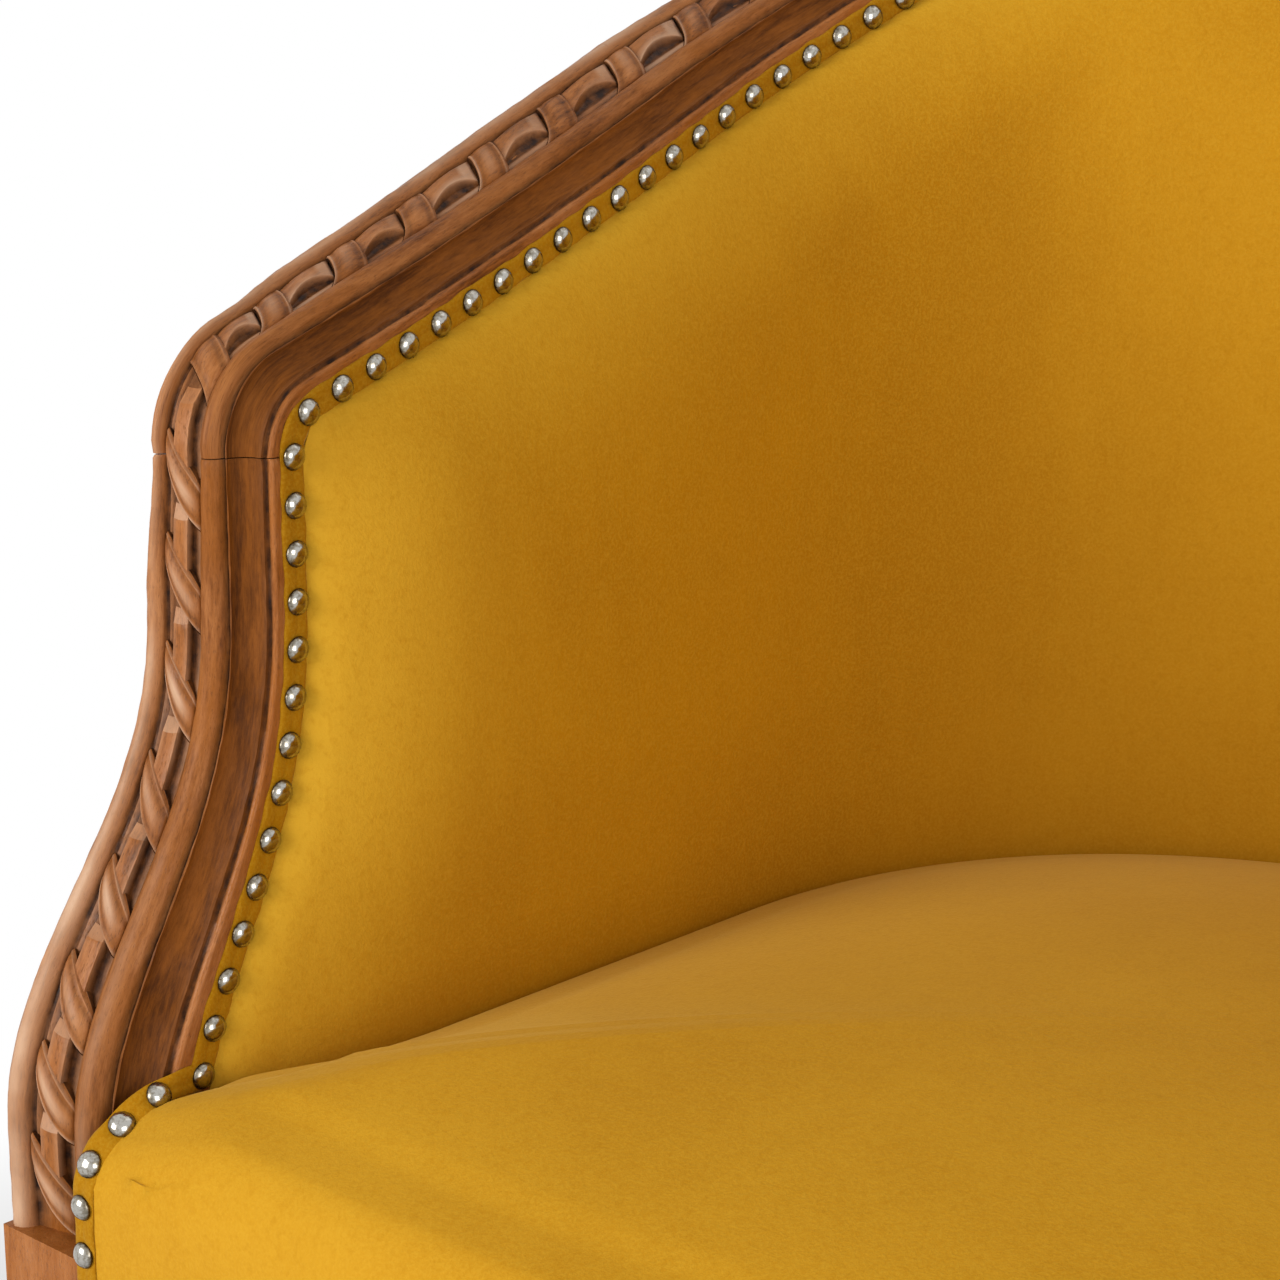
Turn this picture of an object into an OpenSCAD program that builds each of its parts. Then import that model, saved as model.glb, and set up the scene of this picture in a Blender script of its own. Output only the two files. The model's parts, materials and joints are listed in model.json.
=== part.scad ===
// Occasional chair: a tub armchair with a carved show-wood frame, a tight sprung
// seat and one padded cover that runs round the inside of both arms and the back.
// Lengths are in millimetres. The sitter faces -Y, and left is the -X side.

/* [Plan] */
// Distance between the two nail lines at the arm corners
inner_w = 600; // [560:5:640]
// Length of each arm, along the floor, before the back begins to curve
arm_straight = 218; // [180:2:250]
// Angle by which each arm closes in towards the back
arm_splay = 5.8; // [2:0.2:9]
// Distance that each arm post sweeps forward from its top to its foot
post_sweep = 54; // [40:1:64]
// Distance that the front rail bows forward at its middle
front_bow = 28; // [16:1:40]

/* [Heights] */
// Height of the underside of the seat rails above the floor
rail_bottom_z = 292; // [270:2:320]
// Height of the seat rails
seat_rail_h = 60; // [54:1:70]
// Height of the seat's edge above the seat rails
seat_edge_h = 78; // [70:1:90]
// Height of the seat's crown above its edge
seat_crown = 38; // [20:1:50]
// Height of the nail line at the arm corner above the seat's edge
arm_rise = 231; // [200:1:250]
// Slope of the arm at its front end
arm_slope = 19.3; // [14:0.1:24]
// Further rise of the arm, in millimetres at one metre along it, as it steepens
arm_steepen = 250; // [100:10:300]
// Length of the arm, along the floor, that goes on steepening
climb_len = 330; // [300:5:360]

/* [Show wood] */
// Width of the frame members from the outer face to the nailed face
frame_w = 47; // [44:0.5:52]
// Depth of the frame members from the ribbon face to the back
frame_d = 48; // [46:0.5:54]
// Tilt of the ribbon face towards the sitter
face_tilt = 12; // [6:1:16]
// Width of the outer bead
outer_bead_w = 7.5; // [6:0.5:9]
// Width of the sunk channel that holds the ribbon carving
channel_w = 16; // [14:0.5:18]
// Width of the inner bead
inner_bead_w = 10; // [8:0.5:11]
// Height of the beads above the channel
bead_h = 4; // [3:0.25:5]
// Width across the hollow moulding between the inner bead and the nailed face
cove_w = 9; // [8:0.5:10]
// Distance of the nail line below the top edge of the member
nail_line_drop = 31; // [30:0.5:34]
// Width of the rebate that takes the outside cover
rebate_w = 5; // [4:0.5:7]
// Height of the rebate that takes the outside cover
rebate_h = 8; // [6:0.5:10]
// Radius of the nail line at the arm corner
corner_r = 18; // [15:1:24]
// How many times larger the post is at its foot than at its top
post_growth = 1.28; // [1.1:0.02:1.32]
// Length of the post that stays upright below the arm corner
post_upright_len = 40; // [30:1:60]
// How late the post's sweep comes on, going down; 1 is an even sweep
post_lag = 1.4; // [1:0.05:1.6]
// How much slimmer the post is, on its outer side, where it meets the arm
post_pinch = 6.5; // [4:0.5:7]
// How much the outer bead rises along the arm, above its height on the post
arm_lift = 5; // [3:0.5:6]

/* [Seat rails] */
// Distance from the nail line out to the outer face of the side and back rails
rail_out = 50; // [49:0.5:54]
// Thickness of the side and back rails
rail_t = 37; // [32:1:40]
// Thickness of the front rail
front_rail_t = 30; // [26:1:36]
// Angle round the back at which the rear legs stand, from the side
rear_leg_angle = 50; // [46:1:56]
// Width of the uprights inside the back
upright_w = 28; // [22:1:32]
// Height of the stay rail that the covers are tacked to
stay_rail_h = 20; // [16:1:22]
// Gap between the seat rails and the stay rail, where the covers pull through
stay_gap = 26; // [22:1:30]

/* [Legs] */
// Height of the leg block above the seat rails
block_over = 20; // [14:1:26]
// Distance from the leg block's front face to its back face
block_d = 52; // [48:1:56]
// Largest diameter of the turned front leg
leg_top_d = 42; // [36:1:44]
// Diameter of the turned front leg at its ankle
leg_ankle_d = 25; // [22:1:28]
// Number of flutes round each front leg
flutes = 12; // [8:1:14]
// Width of a flute at the top of the leg
flute_w = 6; // [4:0.5:7]
// Width of the rear leg's block
rear_block_w = 46; // [40:1:50]
// Width of the rear leg at the floor
rear_foot_w = 28; // [24:1:34]
// Distance that the rear leg rakes outwards down to the floor
rear_rake = 34; // [20:1:44]
// Diameter of the glides under the feet
glide_d = 19; // [14:1:20]
// Thickness of the glides
glide_h = 4; // [3:0.5:6]

/* [Nails and bands] */
// Diameter of a decorative nail's head
nail_d = 10; // [8:0.5:11]
// Height of a decorative nail's head
nail_h = 2.8; // [2:0.1:3.5]
// Distance between neighbouring nails
nail_pitch = 17.3; // [15:0.1:22]
// Width of the flat fabric band under the nails
band_w = 12; // [11.5:0.5:13]
// Thickness of the flat fabric band
band_t = 1.2; // [0.8:0.1:1.5]

/* [Padding] */
// Thickness of the padding inside the arms and back
pad_t = 30; // [20:1:36]
// Thickness of that padding where it meets the seat
pad_seat_t = 20; // [14:1:24]
// Extra thickness low in the middle of the back
lumbar_t = 25; // [10:1:32]
// Distance over which the padding rounds off at its edges
pad_roll = 60; // [40:1:70]
// Thickness of the outside cover
outside_t = 3; // [2:0.2:3.4]
// Drop of the seat's front edge where it rolls over
front_roll = 28; // [18:1:34]
// Thickness of the seat's foam
foam_t = 46; // [36:1:50]
// Distance that the seat's front stands proud of the front rail
border_proud = 2; // [1:0.5:4]

/* [Inside the seat] */
// Width of the webbing straps
web_w = 50; // [40:1:55]
// Thickness of the webbing
web_t = 1.5; // [1:0.1:2.5]
// Distance between neighbouring seat springs
spring_pitch = 125; // [110:1:135]
// Largest radius of a seat spring
spring_r = 34; // [28:1:38]
// Thickness of the spring wire
wire_d = 4; // [3:0.25:5]
// Turns of a seat spring
spring_turns = 4; // [3:1:5]
// Diameter of the dowels
dowel_d = 10; // [8:1:12]
// Diameter of the brace screws
screw_d = 5; // [4:0.5:6]

/* [Clearances] */
// Clearance round soft pieces
soft_gap = 0.5; // [0.3:0.1:0.8]
// Clearance between a thin layer and what it lies on
layer_gap = 0.15; // [0.1:0.05:0.3]
// Clearance round pins in their holes, on the radius
pin_gap = 0.05; // [0.02:0.01:0.1]
// Clearance between the inner frame's uprights and the show wood
upright_gap = 0.4; // [0.3:0.1:0.8]

/* [Hidden] */
$fn = 48;

wood_color = "sienna";
bare_wood_color = "burlywood";
velvet_color = "goldenrod";
jute_color = "tan";
metal_color = "silver";

// Half the length of the nail line along the floor, and the back's curve
back_r = (inner_w / 2 - arm_straight * sin(arm_splay)) / cos(arm_splay);
half_len = arm_straight + back_r * (90 - arm_splay) * PI / 180;

// The leg block is set out from the foot of the post
block_out = frame_w * post_growth + 1;
block_in = (frame_w - outer_bead_w - channel_w - inner_bead_w) * post_growth - band_w / 2;
block_front = nail_line_drop * post_growth + 0.8;
rail_setback = 1;

// Places along Y are set so that the origin is midway between front and back
function rel_y(s, o) = s * cos(arm_splay) - o * sin(arm_splay);
front_corner_s = -post_sweep - block_front + rail_setback;
nail_stand = band_t + 2 * layer_gap + nail_h;
front_reach = front_bow - rel_y(front_corner_s, -block_in) + border_proud + nail_stand;
back_reach = rel_y(arm_straight, 0) - back_r * sin(arm_splay) + back_r + rail_out;
corner_y = (front_reach - back_reach) / 2;
back_y = corner_y + rel_y(arm_straight, 0) - back_r * sin(arm_splay);

// Heights
rail_top_z = rail_bottom_z + seat_rail_h;
block_bottom_z = rail_bottom_z - 6;
block_top_z = rail_top_z + block_over;
seat_edge_z = rail_top_z + seat_edge_h;
corner_z = seat_edge_z + arm_rise;
stay_z = rail_top_z + stay_gap;
pad_bottom_z = stay_z + stay_rail_h + 2;

// Heading of the nail line, clockwise from +Y, at a length s along the floor
function heading(s) = s < arm_straight ? arm_splay
    : arm_splay + (s - arm_straight) / back_r * 180 / PI;

// A point in plan, at a length s along the left nail line and an inward offset o
function plan(s, o = 0) = s < arm_straight
    ? [-inner_w / 2 + s * sin(arm_splay) + o * cos(arm_splay), corner_y + rel_y(s, o)]
    : [-(back_r - o) * cos(heading(s)), back_y + (back_r - o) * sin(heading(s))];

// Height of the nail line above the arm corner, and its slope
climb_end_slope = tan(arm_slope) + 2 * arm_steepen * climb_len / 1e6;
function rise(s) = s < climb_len ? tan(arm_slope) * s + arm_steepen * s * s / 1e6
    : rise(climb_len - 0.001)
        + climb_end_slope * (s - climb_len) * (1 - (s - climb_len) / (2 * (half_len - climb_len)));
function slope(s) = s < climb_len ? tan(arm_slope) + 2 * arm_steepen * s / 1e6
    : climb_end_slope * (1 - (s - climb_len) / (half_len - climb_len));
function nail_z(s) = corner_z + rise(s);

// The post's forward sweep and growth at a height z
corner_end_s = corner_r * (1 - sin(arm_slope));
post_top_z = nail_z(corner_end_s) - corner_r * cos(arm_slope);
sweep_top_z = post_top_z - post_upright_len;
sweep_foot_z = seat_edge_z - 20;
function part_way(z) = max(0, min(1, (sweep_top_z - z) / (sweep_top_z - sweep_foot_z)));
function ease(w) = w * w * (3 - 2 * w);
function lagged(z) = pow(part_way(z), post_lag);
function sweep(z) = -post_sweep * ease(lagged(z));
function growth(z) = 1 + (post_growth - 1) * ease(lagged(z));
function sweep_pitch(z) = let (w = lagged(z), rate = post_lag * pow(part_way(z), post_lag - 1))
    90 - atan(post_sweep * 6 * w * (1 - w) * rate / (sweep_top_z - sweep_foot_z));

// The outer side draws in towards the arm's corner, and the outer bead rises after it
function clamped(w) = max(0, min(1, w));
pinch_len = 53;
pinch_end = 36;
lift_end = 30;
function post_pinch_at(z) = ease(clamped((z - post_top_z + pinch_len) / pinch_len));
function arm_pinch_at(s) = 1 - ease(clamped((s - corner_end_s) / pinch_end));
function arm_lift_at(s) = ease(clamped((s - corner_end_s) / lift_end));

// The frame's section: a runs inwards from the outer face, b upwards from the top edge
function face_b(a) = -a * tan(face_tilt);
function bead(a0, w) = [
    for (q = [180:-45:0])
        let (a = a0 + w / 2 * (1 + cos(q)))
        [a, face_b(a) - bead_h * (1 - sin(q))]
];
inner_bead_a = outer_bead_w + channel_w;
cove_a = inner_bead_a + inner_bead_w + 1.5;
cove_b = face_b(cove_a) - bead_h + 0.3;
fillet_drop = 2;
section = concat(
    [[rebate_w, -frame_d], [rebate_w, rebate_h - frame_d], [0, rebate_h - frame_d]],
    bead(0, outer_bead_w),
    bead(inner_bead_a, inner_bead_w),
    [for (q = [0:30:90]) [cove_a + cove_w * (1 - cos(q)), cove_b - cove_w * sin(q)]],
    [
        [cove_a + cove_w, cove_b - cove_w - fillet_drop],
        [frame_w, cove_b - cove_w - fillet_drop],
        [frame_w, -frame_d]
    ]
);

// A station is a point of the nail line, its heading, its pitch, the section's scale,
// and how far its outer side is drawn in and its outer bead raised
function post_station(z) = [
    [each plan(sweep(z)), z], arm_splay, sweep_pitch(z), growth(z), post_pinch_at(z), 0
];
function corner_station(q) = [
    [each plan(corner_r * (1 + cos(q))), post_top_z + corner_r * sin(q)],
    arm_splay, q - 90, 1, 1, 0
];
function arm_station(s) = [
    [each plan(s), nail_z(s)], heading(s), atan(slope(s)), 1, arm_pinch_at(s), arm_lift_at(s)
];

function steps(from, to, n) = [for (i = [0:n]) from + (to - from) * i / n];
post_stations = [
    post_station(block_top_z),
    for (z = steps(sweep_foot_z, sweep_top_z, 10)) post_station(z),
    for (z = steps(sweep_top_z, post_top_z, 3)) if (z > sweep_top_z) post_station(z)
];
corner_stations = [for (q = steps(180, 90 + arm_slope, 6)) corner_station(q)];
arm_stations = [for (s = steps(corner_end_s + 6, climb_len, 16)) arm_station(s)];
crest_stations = [for (s = steps(climb_len, half_len, 16)) arm_station(s)];

// Directions at a station: inwards, and away from the back of the member
function inward(st) = [cos(st[1]), -sin(st[1]), 0];
function upward(st) = [-sin(st[1]) * sin(st[2]), -cos(st[1]) * sin(st[2]), cos(st[2])];
draw_in = [
    [0, 1], [outer_bead_w, 0.5], [outer_bead_w + channel_w, 0.43],
    [outer_bead_w + channel_w + inner_bead_w, 0.04], [cove_a, 0], [2 * frame_w, 0]
];
raise = [[0, 1], [outer_bead_w, 1], [inner_bead_a, 0], [2 * frame_w, 0]];
function shaped(st, p) = let (near_face = clamped((p.y + frame_d - rebate_h) / 20)) [
    p.x + near_face * st[4] * post_pinch * lookup(p.x, draw_in),
    p.y + near_face * st[5] * arm_lift * lookup(p.x, raise)
];
function ring(st, outline) = [
    for (o = outline)
        let (p = shaped(st, o))
        st[0] + (p.x - frame_w) * st[3] * inward(st) + (p.y + nail_line_drop) * st[3] * upward(st)
];
function flip(points) = [for (p = points) [-p.x, p.y, p.z]];
function reversed(list) = [for (i = [len(list) - 1:-1:0]) list[i]];

// A solid through rings of equal length, closed at both ends
module skin(rings) {
    n = len(rings[0]);
    m = len(rings);
    polyhedron(
        points = [for (r = rings) each r],
        faces = [
            [for (i = [0:n - 1]) i],
            for (k = [0:m - 2], i = [0:n - 1])
                each [
                    [k * n + i, (k + 1) * n + i, (k + 1) * n + (i + 1) % n],
                    [k * n + i, (k + 1) * n + (i + 1) % n, k * n + (i + 1) % n]
                ],
            [for (i = [n - 1:-1:0]) (m - 1) * n + i]
        ],
        convexity = 10
    );
}

module both_sides(left) {
    if (left) children();
    else mirror([1, 0, 0]) children();
}

// Local axes: x points outwards and y back along the arm, at a length s on the left side
module at_arm(s) {
    p = plan(s);
    translate([p.x, p.y, 0]) rotate([0, 0, -heading(s)]) mirror([1, 0, 0]) children();
}

// Local axes: x points outwards from the middle of the back's curve
module at_back(angle) {
    translate([0, back_y, 0]) rotate([0, 0, 180 - angle]) children();
}

// Profile of the seat rails: x outwards from the inner face, y upwards from the underside
rail_bead_h = 12;
rail_sink = 3;
module rail_profile(inner, thick) {
    translate([inner, 0]) difference() {
        square([thick, seat_rail_h]);
        translate([thick - rail_sink, rail_bead_h])
            square([rail_sink + 1, seat_rail_h - 2 * rail_bead_h]);
        translate([thick - rail_sink, seat_rail_h - rail_bead_h + rail_sink])
            square([rail_sink / 2, 1]);
    }
}

// The front rail's curve
front_corner = plan(front_corner_s, -block_in);
front_r = (front_corner.x * front_corner.x + front_bow * front_bow) / (2 * front_bow);
front_centre_y = front_corner.y - front_bow + front_r;
front_angle = asin(-front_corner.x / front_r) + 1;
function front_y(x, out = 0) = front_centre_y - sqrt((front_r + out) ^ 2 - x * x);

block_back_s = -post_sweep - block_front + block_d;
module leg_block(grow = 0) {
    at_arm(-post_sweep)
        translate([block_in - grow, -block_front - grow, block_bottom_z - grow])
            cube([block_out - block_in + 2 * grow, block_d + 2 * grow,
                  block_top_z - block_bottom_z + 2 * grow]);
}

// Joinery: tenons at the ends of the show wood, dowels in the rails. A tenon's
// outline is the section, drawn in towards a point inside it.
tenon_l = 26;
top_tenon_l = 16;
crest_tenon_l = 18;
dowel_l = 36;
tenon_centre = [outer_bead_w + channel_w / 2, -0.62 * frame_d];
function tenon(grow = 0) = [
    for (p = section)
        let (d = p - tenon_centre)
        tenon_centre + [(0.5 + grow / 14) * d.x, (0.35 + grow / 14) * d.y]
];
module foot_tenon(grow) {
    translate([0, 0, block_top_z - tenon_l - grow]) linear_extrude(height = tenon_l + 1 + grow)
        polygon([for (p = ring(post_stations[0], tenon(grow))) [p.x, p.y]]);
}
dowel_rise = 18;
front_dowel_s = -post_sweep - block_front + rail_setback + front_rail_t / 2;
module front_dowels(grow = 0) {
    for (z = [rail_bottom_z + dowel_rise, rail_top_z - dowel_rise])
        at_arm(front_dowel_s) translate([block_in, 0, z]) rotate([0, 90, 0])
            translate([0, 0, -dowel_l / 2 - grow])
                cylinder(d = dowel_d + 2 * grow, h = dowel_l + 2 * grow);
}
module side_dowels(grow = 0) {
    for (z = [rail_bottom_z + dowel_rise, rail_top_z - dowel_rise])
        at_arm(block_back_s) translate([(block_in + rail_out) / 2, 0, z]) rotate([-90, 0, 0])
            translate([0, 0, -dowel_l / 2 - grow])
                cylinder(d = dowel_d + 2 * grow, h = dowel_l + 2 * grow);
}
rear_dowel_out = rail_out - rail_t / 2;
module rear_dowels(grow = 0) {
    for (side = [-1, 1], z = [rail_bottom_z + dowel_rise, rail_top_z - dowel_rise])
        at_back(rear_leg_angle)
            translate([back_r + rear_dowel_out, side * rear_block_w / 2, z]) rotate([90, 0, 0])
                translate([0, 0, -dowel_l / 2 - grow])
                    cylinder(d = dowel_d + 2 * grow, h = dowel_l + 2 * grow);
}

// Front leg: a square block over a turned and fluted shaft
neck_h = 16;
foot_h = 20;
rosette_d = 32;
module leg_outline() {
    shaft_top = block_bottom_z - neck_h;
    ankle_z = glide_h + foot_h + 12;
    polygon([
        [0, glide_h], [leg_ankle_d / 2 - 3, glide_h], [leg_ankle_d / 2, glide_h + foot_h],
        [leg_ankle_d / 2 - 3, ankle_z - 4], [leg_ankle_d / 2, ankle_z],
        [leg_top_d / 2 - 2, shaft_top], [leg_top_d / 2 - 5, shaft_top + 3],
        [leg_top_d / 2 - 5, block_bottom_z + 1], [0, block_bottom_z + 1]
    ]);
    translate([leg_ankle_d / 2 - 1, ankle_z]) circle(r = 3);
    translate([leg_ankle_d / 2 - 1, glide_h + foot_h]) circle(r = 4);
    translate([leg_top_d / 2 - 4, shaft_top]) circle(r = 4);
    translate([leg_top_d / 2 - 4, block_bottom_z - 5]) circle(r = 4.5);
}
module flute_cuts() {
    top = block_bottom_z - neck_h - 14;
    low = glide_h + foot_h + 24;
    lean = atan((leg_top_d - leg_ankle_d) / 2 / (block_bottom_z - neck_h - glide_h - foot_h - 12));
    low_r = leg_ankle_d / 2 + (low - glide_h - foot_h - 12) * tan(lean);
    for (i = [0:flutes - 1])
        rotate([0, 0, 360 / flutes * (i + 0.5)]) translate([low_r + 0.6, 0, low])
            rotate([0, lean, 0]) cylinder(d1 = flute_w * 0.62, d2 = flute_w, h = top - low);
}
module front_leg(left) {
    color(wood_color) both_sides(left) difference() {
        union() {
            leg_block();
            at_arm(-post_sweep)
                translate([(block_in + block_out) / 2, block_d / 2 - block_front, 0])
                    difference() {
                        rotate_extrude() leg_outline();
                        flute_cuts();
                    }
            at_arm(-post_sweep)
                translate([(block_in + block_out) / 2, 1 - block_front,
                           (rail_bottom_z + block_top_z) / 2])
                    rotate([90, 0, 0]) cylinder(d = rosette_d, h = 3);
        }
        foot_tenon(pin_gap);
        front_dowels(pin_gap);
        side_dowels(pin_gap);
    }
}

// Rear leg: a raked leg, a block between the seat rails and a stile up to the crest
rear_leg_s = arm_straight + back_r * (rear_leg_angle - arm_splay) * PI / 180;
stile_out = 36;
stile_in = 5;
under_drop = frame_d - nail_line_drop;
function under_z(s) = nail_z(s) - under_drop * sqrt(1 + slope(s) ^ 2);
// How far the rear leg's stile runs down into its block
stile_sink = 4;
module stile(s, w, sink = 0) {
    top = under_z(s) - upright_gap;
    tilt = slope(s) * w / 2;
    p = plan(s, -stile_out);
    translate([p.x, p.y, 0]) rotate([0, 0, 90 - heading(s)]) rotate([90, 0, 0])
        linear_extrude(height = stile_out - stile_in)
            polygon([
                [-w / 2, rail_top_z - sink], [w / 2, rail_top_z - sink],
                [w / 2, top + tilt], [-w / 2, top - tilt]
            ]);
}
// The gap in a stay rail that an upright stands in
module stile_space(s) {
    w = upright_w + 2 * pin_gap;
    p = plan(s, -2 * stile_out);
    translate([p.x, p.y, stay_z - 1]) rotate([0, 0, 90 - heading(s)])
        translate([-w / 2, -2 * stile_out, 0]) cube([w, 2 * stile_out, stay_rail_h + 2]);
}
module rear_block(grow = 0) {
    at_back(rear_leg_angle)
        translate([back_r + rail_out + 1 - rear_block_w - grow, -rear_block_w / 2 - grow,
                   rail_bottom_z - grow])
            cube([rear_block_w + 2 * grow, rear_block_w + 2 * grow, seat_rail_h + 2 * grow]);
}
function rake(t) = rear_rake * t * t;
module rear_leg(left) {
    leg_h = rail_bottom_z - glide_h;
    half = rear_block_w / 2;
    narrow = (rear_block_w - rear_foot_w) / 2;
    color(wood_color) both_sides(left) difference() {
        union() {
            rear_block();
            stile(rear_leg_s, upright_w, stile_sink);
            at_back(rear_leg_angle) translate([back_r + rail_out + 1 - half, 0, rail_bottom_z + 1])
                intersection() {
                    rotate([90, 0, 0]) translate([0, 0, -half])
                        linear_extrude(height = rear_block_w)
                            polygon([
                                for (t = steps(0, 1, 8))
                                    [half - narrow * t + rake(t), -(leg_h + 1) * t],
                                for (t = steps(1, 0, 8))
                                    [narrow * t - half + rake(t), -(leg_h + 1) * t]
                            ]);
                    rotate([90, 0, 90]) translate([0, 0, -half])
                        linear_extrude(height = rear_block_w + rear_rake)
                            polygon([
                                [-half, 0], [half, 0],
                                [half - narrow, -leg_h - 1], [narrow - half, -leg_h - 1]
                            ]);
                }
        }
        rear_dowels(pin_gap);
    }
}

module glide(left, front) {
    color(metal_color) both_sides(left)
        if (front)
            at_arm(-post_sweep)
                translate([(block_in + block_out) / 2, block_d / 2 - block_front, 0])
                    cylinder(d = glide_d, h = glide_h);
        else
            at_back(rear_leg_angle)
                translate([back_r + rail_out + 1 - rear_block_w / 2 + rear_rake, 0, 0])
                    cylinder(d = glide_d, h = glide_h);
}

// Seat rails
module front_seat_rail() {
    color(wood_color) difference() {
        translate([0, front_centre_y, rail_bottom_z]) rotate([0, 0, 270 - front_angle])
            rotate_extrude(angle = 2 * front_angle, $fn = 360)
                rail_profile(front_r - front_rail_t, front_rail_t);
        for (left = [true, false]) both_sides(left) {
            at_arm(-post_sweep) translate([block_in, -2 * block_d, rail_bottom_z - 1])
                cube([3 * block_d, 5 * block_d, seat_rail_h + 2]);
            front_dowels(pin_gap);
            front_brace_screws(pin_gap);
        }
    }
}
module side_seat_rail(left) {
    color(wood_color) both_sides(left) difference() {
        union() {
            translate([each plan(block_back_s), rail_bottom_z]) rotate([0, 0, 180 - arm_splay])
                rotate([90, 0, 0]) linear_extrude(height = arm_straight - block_back_s)
                    rail_profile(rail_out - rail_t, rail_t);
            at_back(rear_leg_angle) translate([0, 0, rail_bottom_z])
                rotate_extrude(angle = rear_leg_angle - arm_splay, $fn = 180)
                    rail_profile(back_r + rail_out - rail_t, rail_t);
        }
        rear_block_space();
        side_dowels(pin_gap);
        rear_dowels(pin_gap);
        front_brace_screws(pin_gap);
        rear_brace_screws(pin_gap);
    }
}
module rear_block_space() {
    at_back(rear_leg_angle)
        translate([back_r - 20, -rear_block_w / 2, rail_bottom_z - 1])
            cube([100, rear_block_w, seat_rail_h + 2]);
}
module back_seat_rail() {
    span = 180 - 2 * rear_leg_angle;
    color(wood_color) difference() {
        at_back(180 - rear_leg_angle) translate([0, 0, rail_bottom_z])
            rotate_extrude(angle = span, $fn = 180)
                rail_profile(back_r + rail_out - rail_t, rail_t);
        for (left = [true, false]) both_sides(left) {
            rear_block_space();
            rear_dowels(pin_gap);
            rear_brace_screws(pin_gap);
        }
    }
}

// Show wood above the seat. Each member's rings run on into its tenons or mortises.
function along(st) = [sin(st[1]) * cos(st[2]), cos(st[1]) * cos(st[2]), sin(st[2])];
function moved(st, d) = [st[0] + d * along(st), st[1], st[2], st[3], st[4], st[5]];
function last(list) = list[len(list) - 1];
module arm_post(left) {
    foot = post_stations[0];
    top = last(post_stations);
    color(wood_color) both_sides(left) skin(concat(
        [ring(moved(foot, -tenon_l), tenon()), ring(foot, tenon())],
        [for (st = post_stations) ring(st, section)],
        [ring(top, tenon()), ring(moved(top, top_tenon_l), tenon())]
    ));
}
module arm_rail(left) {
    stations = concat(corner_stations, arm_stations);
    mortise = tenon(pin_gap);
    first = stations[0];
    end = last(stations);
    color(wood_color) both_sides(left) skin(concat(
        [ring(moved(first, top_tenon_l + pin_gap), mortise), ring(first, mortise)],
        [for (st = stations) ring(st, section)],
        [ring(end, mortise), ring(moved(end, -crest_tenon_l - pin_gap), mortise)]
    ));
}
module crest_rail() {
    first = crest_stations[0];
    half = concat(
        [ring(moved(first, -crest_tenon_l), tenon()), ring(first, tenon())],
        [for (st = crest_stations) ring(st, section)]
    );
    color(wood_color) skin(concat(half, [for (i = [len(half) - 2:-1:0]) flip(half[i])]));
}

// The inner frame that carries the covers of the arms and back
side_upright_s = arm_straight;
module side_upright(left) {
    color(bare_wood_color) both_sides(left) stile(side_upright_s, upright_w);
}
module back_upright() {
    color(bare_wood_color) stile(half_len, upright_w);
}
stay_in = stile_in + 1.5;
module stay_profile(inner) {
    translate([inner, 0]) square([stile_out - stay_in, stay_rail_h]);
}
module stay_rail_side(left) {
    front_s = sweep(stay_z) + under_drop * post_growth + soft_gap;
    color(bare_wood_color) both_sides(left) difference() {
        at_back(rear_leg_angle) translate([0, 0, stay_z])
            rotate_extrude(angle = rear_leg_angle - arm_splay, $fn = 180)
                stay_profile(back_r + stay_in);
        stile_space(side_upright_s);
        stile_space(rear_leg_s);
    }
    color(bare_wood_color) both_sides(left)
        translate([each plan(front_s), stay_z]) rotate([0, 0, 180 - arm_splay])
            rotate([90, 0, 0])
                linear_extrude(height = arm_straight - upright_w / 2 - pin_gap - front_s)
                    stay_profile(stay_in);
}
module stay_rail_back() {
    color(bare_wood_color) difference() {
        at_back(180 - rear_leg_angle) translate([0, 0, stay_z])
            rotate_extrude(angle = 180 - 2 * rear_leg_angle, $fn = 180)
                stay_profile(back_r + stay_in);
        stile_space(half_len);
        for (left = [true, false]) both_sides(left) stile_space(rear_leg_s);
    }
}

// Braces across the corners of the seat frame
brace_z = rail_bottom_z + 10;
brace_h = 34;
brace_gap = 0.3;
brace_reach = 62;
side_face_o = rail_t - rail_out + brace_gap;
brace_side_s = [block_back_s + 6, block_back_s + brace_reach];
brace_front_x = [front_corner.x + 22, front_corner.x + brace_reach + 26];
function brace_front(x) = [x, front_y(x, -front_rail_t - brace_gap)];
brace_screw_l = 40;
screw_depth = 13;
screw_inset = 22;
module front_brace(left) {
    color(bare_wood_color) both_sides(left) difference() {
        translate([0, 0, brace_z]) linear_extrude(height = brace_h)
            polygon([
                plan(brace_side_s[0], side_face_o), plan(brace_side_s[1], side_face_o),
                brace_front(brace_front_x[1]), brace_front(brace_front_x[0])
            ]);
        front_brace_screws(pin_gap, 40);
    }
}
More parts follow.
